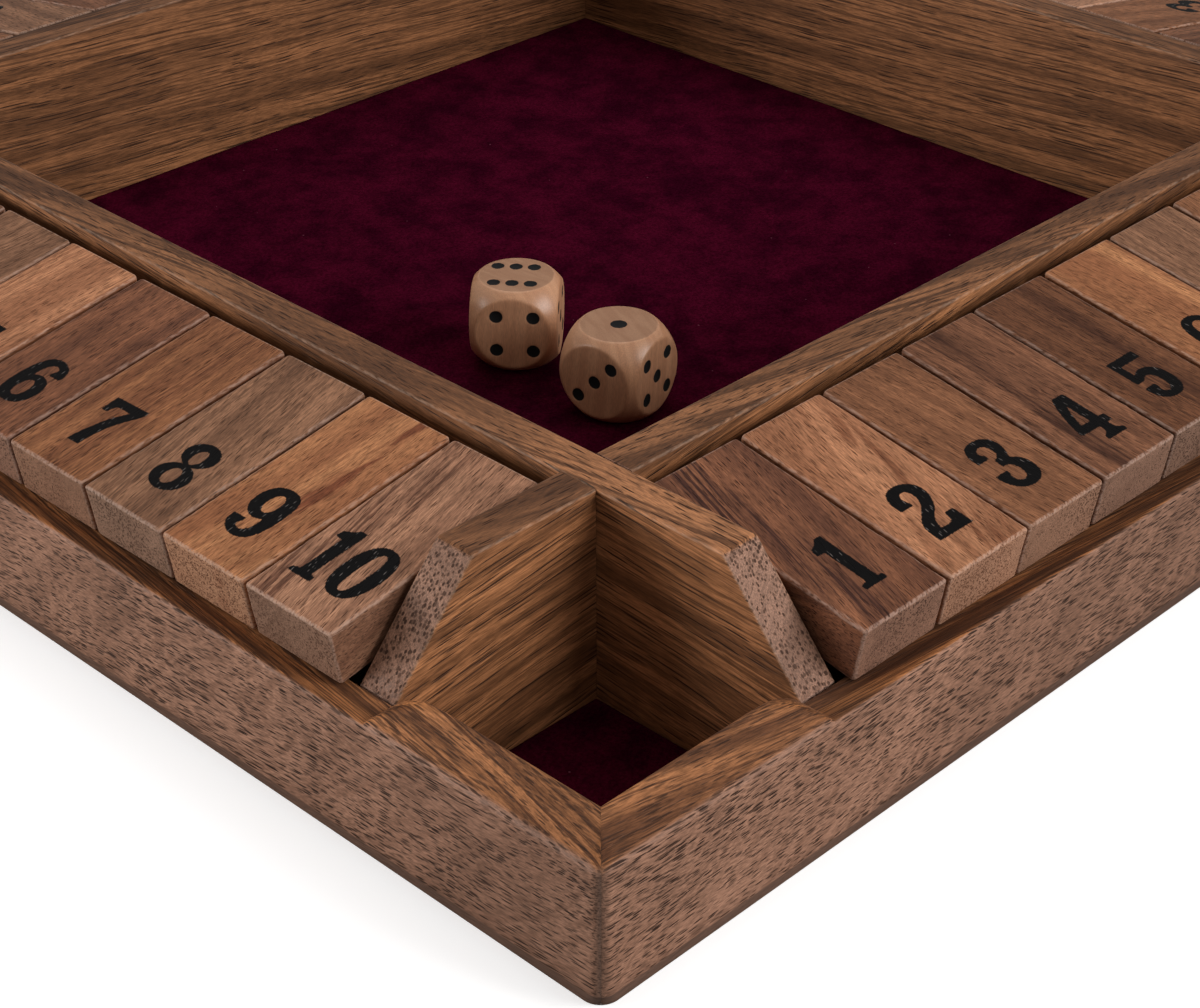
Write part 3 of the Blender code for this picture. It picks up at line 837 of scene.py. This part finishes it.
# %% Outlines of the figures
C = True
MARKS = {
    "1": [(-2.4, 0, C), (2.35, 0, C), (2.35, 0.95, C), (1.75, 1.3), (1.42, 1.9), (1.45, 12.0, C),
          (0.0, 12.0, C), (-0.8, 11.15), (-2.25, 10.5, C), (-2.4, 9.1, C), (-0.98, 9.0, C), (-1.02, 1.9),
          (-1.45, 1.3), (-2.4, 0.95, C)],
    "2": [(-3.8, 0, C), (-3.75, 1.8), (-3.55, 3.0), (-2.9, 4.3), (-1.1, 5.9), (0.45, 7.4), (1.05, 8.6),
          (1.1, 9.7), (0.75, 10.5), (0.05, 10.75), (-0.7, 10.4), (-1.1, 9.6), (-0.9, 8.9), (-0.7, 7.7, C),
          (-3.45, 7.7, C), (-3.5, 9.3), (-3.0, 10.9), (-1.8, 12.1), (-0.1, 12.45), (1.7, 12.15),
          (3.0, 11.2), (3.55, 9.8), (3.4, 8.3), (2.8, 7.0), (1.9, 5.8), (0.6, 4.7), (-0.7, 3.4),
          (-1.3, 1.85, C), (0.6, 1.85), (1.35, 2.3), (1.8, 3.9, C), (3.75, 3.9, C), (3.8, 0, C)],
    "3": [(-3.6, 8.0, C), (-3.6, 9.2), (-3.2, 10.7), (-2.1, 11.9), (-0.2, 12.35), (1.9, 12.0),
          (3.15, 10.8), (3.4, 9.3), (2.9, 7.8), (2.1, 6.45, C), (3.3, 5.5), (3.9, 4.0), (3.7, 2.1),
          (2.5, 0.6), (0.5, -0.05), (-1.7, 0.3), (-3.1, 1.5), (-3.8, 3.2), (-3.8, 4.6, C), (-1.0, 4.6, C),
          (-1.05, 4.0), (-1.5, 3.2), (-1.45, 2.4), (-0.9, 1.8), (-0.1, 1.7), (0.8, 2.2), (1.2, 3.6),
          (0.9, 4.9), (0.1, 5.45), (-0.7, 5.5, C), (-0.7, 7.3, C), (0.2, 7.5), (1.0, 8.2), (1.15, 9.4),
          (0.7, 10.4), (-0.3, 10.7), (-1.1, 10.3), (-1.4, 9.6), (-1.0, 8.9), (-0.9, 8.0, C)],
    "4": [(-0.9, 0, C), (-0.9, 0.9, C), (0.1, 1.4), (0.45, 2.0), (0.45, 2.95, C), (-3.85, 2.95, C),
          (-3.85, 4.0, C), (-3.2, 6.2), (-2.2, 8.6), (-1.3, 10.5), (-0.35, 11.85, C), (2.45, 11.85, C),
          (2.55, 4.8, C), (3.85, 4.75, C), (3.85, 3.0, C), (2.6, 2.95, C), (2.65, 2.0), (3.0, 1.4),
          (3.9, 0.9, C), (3.9, 0, C)],
    "5": [(-3.65, 11.85, C), (3.45, 11.85, C), (3.45, 10.0, C), (-1.8, 10.0, C), (-1.85, 7.3, C),
          (-1.15, 7.7), (0.15, 8.0), (1.85, 7.6), (3.15, 6.3), (3.65, 4.0), (3.05, 1.6), (1.55, 0.2),
          (-0.35, 0.0), (-2.15, 0.5), (-3.25, 1.7), (-3.65, 3.1), (-3.65, 4.15, C), (-1.05, 4.15, C),
          (-0.9, 3.4), (-1.25, 2.7), (-1.2, 2.15), (-0.55, 1.65), (0.15, 1.7), (0.85, 2.5), (1.1, 4.1),
          (0.85, 5.5), (0.05, 6.15), (-0.85, 6.1), (-1.75, 5.5, C), (-3.65, 5.5, C)],
    "7": [(-3.8, 11.5, C), (3.8, 11.55, C), (3.75, 10.3), (3.0, 8.9), (2.1, 7.4), (1.3, 5.5), (0.7, 3.1),
          (0.5, 1.7), (0.5, 0.05, C), (-2.2, 0.05, C), (-2.1, 1.5), (-1.5, 3.9), (-0.6, 6.7), (0.6, 8.8),
          (1.3, 9.7, C), (-1.5, 9.7), (-2.1, 9.1), (-2.35, 8.0, C), (-3.75, 8.0, C)],
    "9": [(-3.7, 3.8, C), (-3.6, 2.3), (-2.6, 0.9), (-0.4, 0.0), (1.9, 0.5), (3.1, 2.1), (3.7, 4.6),
          (3.8, 7.1), (3.4, 9.9), (2.3, 11.5), (0.0, 12.1), (-2.3, 11.5), (-3.5, 9.9), (-3.8, 8.1),
          (-3.4, 6.3), (-2.4, 5.1), (-0.8, 4.5), (0.5, 4.65), (1.3, 5.1, C), (1.25, 4.2), (1.1, 2.9),
          (0.6, 2.0), (-0.2, 1.55), (-1.1, 1.75), (-1.5, 2.3), (-1.15, 2.9), (-1.05, 3.8, C)],
}
FOUR_HOLE = [(-1.85, 4.75, C), (0.3, 4.75, C), (0.3, 9.3, C), (-0.7, 7.6)]


def oval(cx, cy, rx, ry, power=2.0, steps=40):
    """An oval whose sides are fuller than an ellipse's where the power is over 2."""
    a = np.linspace(0, 2 * math.pi, steps, endpoint=False)
    c, s = np.cos(a), np.sin(a)
    x = cx + rx * np.sign(c) * abs(c) ** (2 / power)
    y = cy + ry * np.sign(s) * abs(s) ** (2 / power)
    return np.stack([x, y], -1)


def smooth_outline(marks, steps=6):
    """A closed outline through marks. Between two marks it is a cubic curve whose slope at a smooth mark is
    half the way from the mark before to the mark after, and at a corner the way to the next mark."""
    at = np.array([m[:2] for m in marks])
    sharp = np.array([len(m) > 2 for m in marks])[:, None]
    after, before = np.roll(at, -1, 0), np.roll(at, 1, 0)
    slope = (after - before) / 2
    leave = np.where(sharp, after - at, slope)
    arrive = np.roll(np.where(sharp, at - before, slope), -1, 0)
    t = (np.arange(steps) / steps)[None, :, None]
    curve = ((2 * t ** 3 - 3 * t ** 2 + 1) * at[:, None] + (t ** 3 - 2 * t ** 2 + t) * leave[:, None]
             + (3 * t ** 2 - 2 * t ** 3) * after[:, None] + (t ** 3 - t ** 2) * arrive[:, None])
    return curve.reshape(-1, 2)


def outside(points, outline):
    """How far each point lies outside a closed outline, and negative inside it. The distance is to the
    nearest edge, and a point is inside when a line from it to the right crosses the outline an odd number
    of times."""
    start, stop = outline[None], np.roll(outline, -1, 0)[None]
    p = points[:, None]
    edge = stop - start
    t = np.clip(((p - start) * edge).sum(-1) / np.maximum((edge ** 2).sum(-1), 1e-12), 0, 1)
    distance = np.linalg.norm(p - start - t[..., None] * edge, axis=-1).min(1)
    spans = (start[..., 1] > p[..., 1]) != (stop[..., 1] > p[..., 1])
    rise = np.where(abs(edge[..., 1]) < 1e-12, 1e-12, edge[..., 1])
    cross_x = start[..., 0] + (p[..., 1] - start[..., 1]) * edge[..., 0] / rise
    inside = (spans & (p[..., 0] < cross_x)).sum(1) % 2 == 1
    return np.where(inside, -distance, distance)


FIGURE_HEIGHT = 12.1
UPSIDE_DOWN = np.array([[0, FIGURE_HEIGHT]])
FIGURES = {figure: ([smooth_outline(marks)], []) for figure, marks in MARKS.items()}
FIGURES["4"][1].append(smooth_outline(FOUR_HOLE))
FIGURES["9"][1].append(oval(-0.1, 8.25, 1.3, 2.15))
FIGURES["6"] = tuple([UPSIDE_DOWN - outline for outline in outlines] for outlines in FIGURES["9"])
FIGURES["8"] = ([oval(0, 9.05, 3.45, 2.85), oval(0, 3.2, 3.75, 3.2)],
                [oval(0.05, 8.5, 1.15, 1.8), oval(-0.1, 3.3, 1.35, 1.9)])
FIGURES["0"] = ([oval(0, 5.95, 3.85, 5.95, 2.3)], [oval(0.05, 5.9, 1.2, 4.5, 2.5)])
TEN_SHIFT = {"1": -4.3, "0": 2.85}
FIGURE_FOOT = 6.0
FIGURE_MIDDLE = 6.2
NEAR_UP, NEAR_ACROSS = 7.2, 7.6
STAMP_TURN = 0.9
STAMP_ACROSS, STAMP_UP = 0.3, 0.25
FAR_AWAY = 5.0


def ink_distance(points, number):
    """How far points of a tile's face lie outside its figures: the least over all outlines, and the holes
    are taken out again. Points are in millimetres, x across and y up from the base line."""
    least = np.full(len(points), FAR_AWAY)
    for figure in str(number):
        shift = (TEN_SHIFT[figure] if number == 10 else 0.0, 0.0)
        solids, holes = FIGURES[figure]
        reach = np.min([outside(points - shift, outline) for outline in solids], 0)
        for hole in holes:
            reach = np.maximum(reach, -outside(points - shift, hole))
        least = np.minimum(least, reach)
    return least


def stamp(points, number, seed):
    """The ink distance of every point of a tile. A stamp never lands exactly, so each figure is a little
    turned and shifted. Points that aren't on the numbered face are far away."""
    tilt = math.radians(STAMP_TURN * math.sin(seed * 2.7))
    x = points[:, 0] / MM - STAMP_ACROSS * math.sin(seed * 1.9)
    y = (TILE_LENGTH - ROD_INSET - points[:, 1]) / MM - FIGURE_FOOT - STAMP_UP * math.sin(seed * 4.3)
    c, s = math.cos(tilt), math.sin(tilt)
    local = np.stack([x * c + y * s, y * c - x * s], -1)
    on_face = points[:, 2] > TILE_THICKNESS / 2 - WELD
    near = on_face & (abs(local[:, 1] - FIGURE_MIDDLE) < NEAR_UP) & (abs(local[:, 0]) < NEAR_ACROSS)
    reach = np.full(len(points), FAR_AWAY)
    reach[near] = ink_distance(local[near], number)
    return reach


# %% [markdown]
# Every tile is cut from another spot of the stock, so its tone and the lean of its grain are its own. The
# tones are read from the photograph where it shows a tile, and are of the same family elsewhere. A
# tile also stands a trace aside from its even place, and turned by a fraction of a degree.

# %% Tiles
TONES = {
    "tan": ((190, 132, 96), (122, 74, 50)), "honey": ((190, 131, 89), (118, 66, 44)),
    "brown": ((155, 104, 73), (98, 62, 43)), "umber": ((141, 94, 68), (66, 40, 30)),
    "walnut": ((118, 76, 52), (70, 42, 30)), "grey": ((184, 134, 104), (104, 68, 52)),
    "rust": ((157, 104, 70), (94, 54, 38)), "drab": ((154, 111, 84), (84, 56, 42)),
    "plum": ((149, 97, 69), (66, 40, 34)),
}
ROW_TONES = {
    "front": ("plum", "tan", "brown", "umber", "walnut", "honey", "drab", "brown", "rust", "grey"),
    "left": ("brown", "honey", "umber", "drab", "tan", "plum", "rust", "drab", "honey", "grey"),
    "back": ("rust", "brown", "tan", "walnut", "grey", "honey", "umber", "drab", "brown", "tan"),
    "right": ("tan", "umber", "brown", "grey", "rust", "honey", "walnut", "tan", "drab", "brown"),
}
GRAIN_LEAN = {
    "front": (13, 9, -6, -5, -5, -7, 2, 8, -1, 6), "left": (4, -8, 2, 7, 3, -4, -3, -10, -2, -12),
    "back": (7, 3, -9, 2, 12, -1, 8, 10, -8, 2), "right": (-6, 2, 9, -3, 6, 11, -9, 4, 1, -5),
}
DARK_SIDES = {"left_10": 0.3, "front_08": 0.1}
BANDS = {
    "front_01": (-4.5, 3.2, 0.75), "front_02": (3.6, 2.6, 0.35), "front_04": (-3.0, 3.0, 0.4),
    "left_09": (3.4, 1.5, 0.75), "left_10": (-4.6, 4.0, 0.55), "left_07": (2.0, 2.0, 0.3),
}
SIDE_ORDER = list(SIDES)
TILE_TURN = 0.25
TILE_SHIFT = 0.15 * MM


def tile_seat(points, x):
    """Tile points moved from about their rod to their seat on the front side: sloped, outwards to -Y."""
    c, s = math.cos(TILE_SLOPE), math.sin(TILE_SLOPE)
    y, z = points[..., 1], points[..., 2]
    return np.stack([points[..., 0] + x, -ROD_OUT - (y * c + z * s), ROD_HEIGHT + z * c - y * s], -1)


def build_tile(side, angle, index):
    """One tile of a side, counted from 0 at the left of the player who sits there."""
    seed = 1 + index + 10 * SIDE_ORDER.index(side)
    points, edge = tile_grid(seed, TEN_WIDTH if index == 9 else FIGURE_WIDTH)
    name = f"{side}_{index + 1:02d}"
    mesh = skin("tile_wood_" + name, points, grid_quads(*points.shape[:2], closed_rows=True), edge=edge)
    cut_from_plank(mesh, (0, 1, 0), (0, 0, 1), turn=GRAIN_LEAN[side][index], dive=2.5,
                   ring=(seed * 37) % 70 + 10, place_mm=(seed * 83.0, seed * 31.0, seed * 57.0))
    own = mesh_points(mesh)
    across, height = own[:, 0], own[:, 2]
    store(mesh, "ink", stamp(own, index + 1, seed))
    store(mesh, "deep", DARK_SIDES.get(name, 0.0) * (height < TILE_THICKNESS / 2 - TILE_EDGE / 2))
    usual_band = (5 * math.sin(seed * 1.3), 1.5 + seed % 3, 0.3 * (seed % 4 == 1))
    middle, width, strength = BANDS.get(name, usual_band)
    band = np.stack([(across / MM - middle) / width, np.full_like(across, strength), 0 * across], -1)
    store(mesh, "band", band, kind="FLOAT_VECTOR")
    for key, tone in zip(("tone", "streak"), TONES[ROW_TONES[side][index]]):
        store(mesh, key, np.tile(srgb(*tone), (len(mesh.vertices), 1)), kind="FLOAT_COLOR")
    loose = turn_z(own, math.radians(TILE_TURN * math.sin(seed * 5.1)))
    seated = tile_seat(loose, FIRST_TILE + index * TILE_PITCH + TILE_SHIFT * math.sin(seed * 3.3))
    move_to(mesh, turn_z(seated, angle))
    return place(mesh, "wood_tile_" + name, tile_wood, "tile_" + name, "tile_" + name)


for side, angle in SIDES.items():
    for index in range(10):
        tile = build_tile(side, angle, index)
print("tile", len(tile.data.polygons), "faces")

# %% [markdown]
# ## The felt
#
# The tray and the wells are lined with dark red felt. Felt has no weave: it is a mat of short fibres that
# catches light at a low angle, shows soft mottling where it was pressed, and holds a little pale lint.

# %% Felt
def felt_material():
    """Dark red felt: soft mottling, short fibres, a faint sheen, and a fleck of lint in every few cells."""
    material, tree, shader = new_material(
        "maroon_felt", roughness=0.95, specular_ior_level=0.0, sheen_weight=0.015, sheen_roughness=0.5,
        sheen_tint=srgb(150, 60, 90))
    spot = add_node(tree, "TexCoord").outputs["Object"]
    mottle = noise(tree, spot, (110, 110, 110), detail=5.0, roughness=0.65)
    fuzz = noise(tree, spot, (1900, 1900, 1900), detail=3.0, roughness=0.7)
    tone = blend(tree, ramp(tree, mottle, 0.32, 0.68), srgb(45, 3, 20), srgb(70, 8, 30))
    tone = tinted(tree, tone, ramp(tree, fuzz, 0.25, 0.75, 0.55, 1.45))
    cells = add_node(tree, "TexVoronoi", {"Vector": spot, "Scale": 260.0}).outputs
    lint = ramp(tree, cells["Distance"], 0.03, 0.06, 1.0, 0.0)
    few = ramp(tree, add_node(tree, "SeparateXYZ", {0: cells["Color"]}).outputs[0], 0.78, 0.84)
    tone = blend(tree, product(tree, lint, few, 0.45), tone, srgb(150, 90, 105))
    set_inputs(tree, shader, {"Base Color": tone})
    relief(tree, shader, fuzz, strength=0.5, depth=0.15)
    return material


def pad_points(low, high, cells, soft, wave):
    """A thin pad with soft edges, as six grids that meet. A point of the sharp block is pulled to the
    nearest point of the block shrunk by the softness, grown again by it, so every edge becomes round. Slow
    waves lift the top by a trace."""
    low, high = np.array(low), np.array(high)
    _, sides, faces = cube_grid(np.sin(np.linspace(-1, 1, cells + 1) * math.pi / 2))
    sharp = low + (np.concatenate(sides) + 1) / 2 * (high - low)
    core = np.clip(sharp, low + soft, high - soft)
    away = sharp - core
    length = np.linalg.norm(away, axis=-1, keepdims=True)
    points = core + away / np.maximum(length, WELD) * soft
    x, y = points[:, 0], points[:, 1]
    lift = wave * (np.sin(x * 57 + 1) * np.sin(y * 43 + 2) + 0.5 * np.sin(x * 131 + y * 97))
    points[:, 2] += np.where(sharp[:, 2] >= high[2] - WELD, lift - 1.5 * wave, 0)
    return points, faces


felt = felt_material()
TRAY_CELLS, WELL_CELLS = 40, 16
FELT_SOFT = 0.35 * MM
FELT_WAVE = 0.03 * MM
FELT_SINK = 0.2 * MM


def build_felt(name):
    """One felt, laid on the base panel and held by its edges alone."""
    low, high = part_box("felt_" + name)
    low.z -= FELT_SINK
    cells = TRAY_CELLS if name == "tray" else WELL_CELLS
    points, faces = pad_points(low, high, cells, FELT_SOFT, FELT_WAVE)
    mesh = skin("felt_" + name, points, faces)
    piece = place(mesh, "cloth_" + name, felt, "box", "felt_" + name)
    return piece


for name in ("tray", "well_front_left", "well_front_right", "well_back_right", "well_back_left"):
    cloth = build_felt(name)
print("felt", len(cloth.data.polygons), "faces")

# %% [markdown]
# ## The dice
#
# Wooden dice are tumbled until their corners are round. Each is a cube cut by a ball, so every face is a
# flat disc and the corners are parts of the ball. The spots are shallow drilled cups, painted black. Each
# point stores how far it lies from the rim of the nearest spot, so that the paint ends on a clean circle
# even where the grid is coarser than the rim.

# %% Dice shape
DIE_BALL_SHARE = 0.66
PIP_RADIUS = 1.22 * MM
ACE_RADIUS = 1.5 * MM
PIP_DEPTH = 0.3 * MM
PIP_SPREAD = 3.38 * MM
DIE_CELLS = 56
DIE_ROUND = 0.25 * MM
DISC_FADE = 0.12 * MM
SPOTS = {
    1: [(0, 0)],
    2: [(-1, -1), (1, 1)],
    3: [(-1, -1), (0, 0), (1, 1)],
    4: [(-1, -1), (-1, 1), (1, -1), (1, 1)],
    5: [(-1, -1), (-1, 1), (0, 0), (1, -1), (1, 1)],
    6: [(-1, -1), (0, -1), (1, -1), (-1, 1), (0, 1), (1, 1)],
}


def die_points(side, faces, drift):
    """The grid of a die about its centre, how far each point lies from the rim of a spot, and 1 where it
    lies on a flat disc.

    Faces give the number of spots for the directions +Z, -Z, +X, -X, +Y and -Y. A point of the cube in the
    direction d lies at the lesser of the distance to the cube, h / max|d|, and the ball's radius, with the
    corner between them rounded over a small reach. The drift says how far off the middle a face was
    drilled."""
    half, ball = side / 2, side * DIE_BALL_SHARE
    grid, sides, quads = cube_grid(np.linspace(-1, 1, DIE_CELLS + 1))
    points, rims, discs = [], [], []
    for d, number in zip(sides, faces):
        length = np.linalg.norm(d, axis=-1, keepdims=True)
        reach = soft_min(half * length, np.full_like(length, ball), DIE_ROUND)
        flat = grid * half * (reach / (half * length))
        spots = np.array(SPOTS[number], float) * PIP_SPREAD + np.array(drift.get(number, (0, 0))) * MM
        radius = ACE_RADIUS if number == 1 else PIP_RADIUS
        gap = np.linalg.norm(flat[:, None] - spots[None], axis=-1).min(1) - radius
        normal = np.where(np.ptp(d, axis=0) == 0, d, 0)
        cup = PIP_DEPTH * np.sqrt(np.clip(1 - ((gap + radius) / radius) ** 2, 0, 1))
        points.append(d / length * reach - normal * cup[:, None])
        rims.append(gap)
        discs.append(np.clip((ball - half * length[:, 0]) / DISC_FADE, 0, 1))
    return np.concatenate(points), quads, np.concatenate(rims), np.concatenate(discs)


# %% Dice
def die_material():
    """Pale close-grained wood, polished on the rounded parts and duller on the flat discs, with black paint
    in the spots. The fibres stand upright, so the disc on top is end grain, which drinks more oil and is
    darker; that darkening is also painted shade on the top."""
    material, tree, shader = new_material("die_wood", specular_ior_level=0.4, coat_roughness=0.30)
    read = stored(tree, "plank", "rim", "disc", "end")
    spot, disc = read["plank"]["Vector"], read["disc"]["Fac"]
    rings = noise(tree, spot, (0.03, 0.8, 0.15), detail=3.0)
    fibres = noise(tree, spot, (0.8, 7.0, 7.0), detail=3.0, roughness=0.6)
    end_grain_and_shade = product(tree, disc, ramp(tree, read["end"]["Fac"], 0.5, 0.9))
    tone = blend(tree, ramp(tree, rings, 0.38, 0.62), srgb(214, 160, 122), srgb(202, 147, 110))
    tone = tinted(tree, tone, ramp(tree, fibres, 0.28, 0.72, 0.84, 1.10))
    tone = tinted(tree, tone, ramp(tree, disc, 0.0, 1.0, 1.0, 0.97))
    # The disc on top is darkened: end grain that drank oil, and painted shade.
    tone = tinted(tree, tone, ramp(tree, end_grain_and_shade, 0.0, 1.0, 1.0, 0.68))
    paint = ramp(tree, read["rim"]["Fac"], -0.05, 0.07, 1.0, 0.0)
    dry = calc(tree, "MAXIMUM", ramp(tree, disc, 0.0, 1.0, 0.36, 0.55), product(tree, paint, 0.95))
    polish = product(tree, rest(tree, paint), ramp(tree, disc, 0.0, 1.0, 0.28, 0.04))
    set_inputs(tree, shader, {"Base Color": blend(tree, paint, tone, srgb(12, 12, 13)), "Roughness": dry,
                              "Coat Weight": polish})
    return material


die_wood = die_material()
DICE = {
    "die_1": ((6, 1, 5, 2, 3, 4), -50.6, {6: (-0.45, 0), 4: (0.45, 0)}),
    "die_2": ((1, 6, 5, 2, 4, 3), -78.0, {}),
}


def build_die(name, faces, turn, drift):
    """One die, standing where its solid does and turned by so many degrees."""
    low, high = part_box(name)
    points, quads, rims, discs = die_points(high.z - low.z, faces, drift)
    mesh = skin(name, points, quads, sharp=None, rim=rims / MM, disc=discs)
    cut_from_plank(mesh, (0.1, 0.15, 1), (0, -1, 0), ring=35, place_mm=(turn * 3, turn, 5))
    centre = np.array((low + high) / 2)
    move_to(mesh, turn_z(mesh_points(mesh), math.radians(turn)) + centre)
    return place(mesh, "wood_" + name, die_wood, name, name)


for name, (faces, turn, drift) in DICE.items():
    die = build_die(name, faces, turn, drift)
print("die", len(die.data.polygons), "faces")

# %% [markdown]
# ## What stays as it was packed
#
# The rods and the base panel have the right shape already, and little of them shows. They only get a
# finish: drawn steel for the rods, and plywood with a plain birch face for the panel.

# %% Rods and base panel
def steel_material():
    """Drawn steel, a little uneven in tone and gloss."""
    material, tree, shader = new_material("rod_steel", metallic=1.0, roughness=0.35)
    drawn = noise(tree, add_node(tree, "TexCoord").outputs["Object"], (900, 900, 900), detail=3.0)
    tone = blend(tree, drawn, srgb(150, 150, 152), srgb(185, 185, 186))
    set_inputs(tree, shader, {"Base Color": tone, "Roughness": ramp(tree, drawn, 0.2, 0.8, 0.28, 0.45)})
    return material


def panel_material():
    """The birch face of plywood: slow waves of tone, and fibres along X."""
    material, tree, shader = new_material("panel_plywood", roughness=0.7, specular_ior_level=0.3)
    spot = add_node(tree, "TexCoord").outputs["Object"]
    wave = noise(tree, spot, (4, 30, 60), detail=4.0, roughness=0.6)
    fibres = noise(tree, spot, (120, 2600, 2600))
    tone = blend(tree, ramp(tree, wave, 0.38, 0.62), srgb(196, 158, 116), srgb(172, 130, 90))
    tone = tinted(tree, tone, ramp(tree, fibres, 0.25, 0.75, 0.88, 1.06))
    set_inputs(tree, shader, {"Base Color": tone})
    relief(tree, shader, fibres, strength=0.4, depth=0.1)
    return material


steel = steel_material()
plywood = panel_material()
for side in SIDES:
    nodes["rod_" + side].material_slots[0].material = steel
nodes["base_panel"].material_slots[0].material = plywood
print("finished the rods and the base panel")

# %% [markdown]
# ## Camera, light and floor
#
# The photograph looks down on one corner through a long lens. The light is broad and soft, a little
# stronger from the right, and the background is white. The floor keeps the soft shadow of the box.

# %% Camera
def posed(right, up, back, spot):
    """The matrix of an object at a spot, with the directions of its own three axes."""
    matrix = np.eye(4)
    matrix[:3] = np.stack([right, up, back, spot], -1)
    return Matrix(matrix)


CAMERA_PLACE = (-0.32693, -0.32269, 0.23218)
CAMERA_RIGHT = (0.695526, -0.718490, 0.004027)
CAMERA_DOWN = (-0.374325, -0.367134, -0.851524)
CAMERA_FORWARD = (0.613290, 0.590750, -0.524300)
LENS = 76.83
PHOTO_WIDTH, PRINCIPAL_U = 1200, 616.27

camera_data = bpy.data.cameras.new("camera")
camera_data.sensor_width = 36
camera_data.sensor_fit = "HORIZONTAL"
camera_data.lens = LENS
camera_data.shift_x = (PHOTO_WIDTH / 2 - PRINCIPAL_U) / PHOTO_WIDTH
camera_data.clip_start = 0.01
camera = bpy.data.objects.new("camera", camera_data)
camera.matrix_world = posed(CAMERA_RIGHT, -np.array(CAMERA_DOWN), -np.array(CAMERA_FORWARD), CAMERA_PLACE)
bpy.context.scene.collection.objects.link(camera)
bpy.context.scene.camera = camera


# %% Lights, world and floor
def soft_box(name, spot, size, watts):
    """A large square lamp that looks at the middle of the box."""
    data = bpy.data.lights.new(name, "AREA")
    data.shape, data.size, data.energy = "SQUARE", size, watts
    lamp = bpy.data.objects.new(name, data)
    away = np.array(spot) / np.linalg.norm(spot)
    side = np.cross((0, 0, 1), away)
    side = side / np.linalg.norm(side)
    lamp.matrix_world = posed(side, np.cross(away, side), away, spot)
    bpy.context.scene.collection.objects.link(lamp)


def seen_directly(tree):
    """1 in what the camera itself looks at, and 0 for all light that the box receives."""
    path = add_node(tree, "LightPath").outputs
    return calc(tree, "MAXIMUM", path["Is Camera Ray"], path["Is Transmission Ray"])


LAMPS = {
    "top_light": ((0.25, 0.35, 1.3), 1.1, 3.6),
    "right_light": ((0.45, -1.30, 0.58), 0.8, 16),
    "left_light": ((-1.20, 0.72, 0.32), 0.6, 12),
}
for name, (spot, size, watts) in LAMPS.items():
    soft_box(name, spot, size, watts)

world = bpy.data.worlds.new("studio")
world.use_nodes = True
backdrop = world.node_tree.nodes["Background"]
backdrop.inputs["Color"].default_value = (1, 1, 1, 1)
strength = ramp(world.node_tree, seen_directly(world.node_tree), 0.0, 1.0, 0.30, 1.0)
world.node_tree.links.new(strength, backdrop.inputs["Strength"])
bpy.context.scene.world = world
bpy.context.scene.view_settings.view_transform = "Standard"


def floor_material():
    """A white floor. The camera sees it a little brighter than its light alone would make it."""
    material, tree, shader = new_material("white_floor", roughness=0.9, specular_ior_level=0.1)
    seen = seen_directly(tree)
    shader.inputs["Emission Color"].default_value = (1, 1, 1, 1)
    tone = blend(tree, seen, (0.25, 0.25, 0.25, 1), (0.93, 0.93, 0.93, 1))
    set_inputs(tree, shader, {"Base Color": tone, "Emission Strength": product(tree, seen, 0.55)})
    return material


FLOOR_HALF = 3.0
FLOOR_GAP = 0.05 * MM
floor_corners = [(x * FLOOR_HALF, y * FLOOR_HALF, 0) for x, y in ((-1, -1), (1, -1), (1, 1), (-1, 1))]
floor_mesh = bpy.data.meshes.new("floor")
floor_mesh.from_pydata(floor_corners, [], [(0, 1, 2, 3)])
floor_mesh.materials.append(floor_material())
floor = bpy.data.objects.new("floor", floor_mesh)
floor.location.z = -FLOOR_GAP
bpy.context.scene.collection.objects.link(floor)
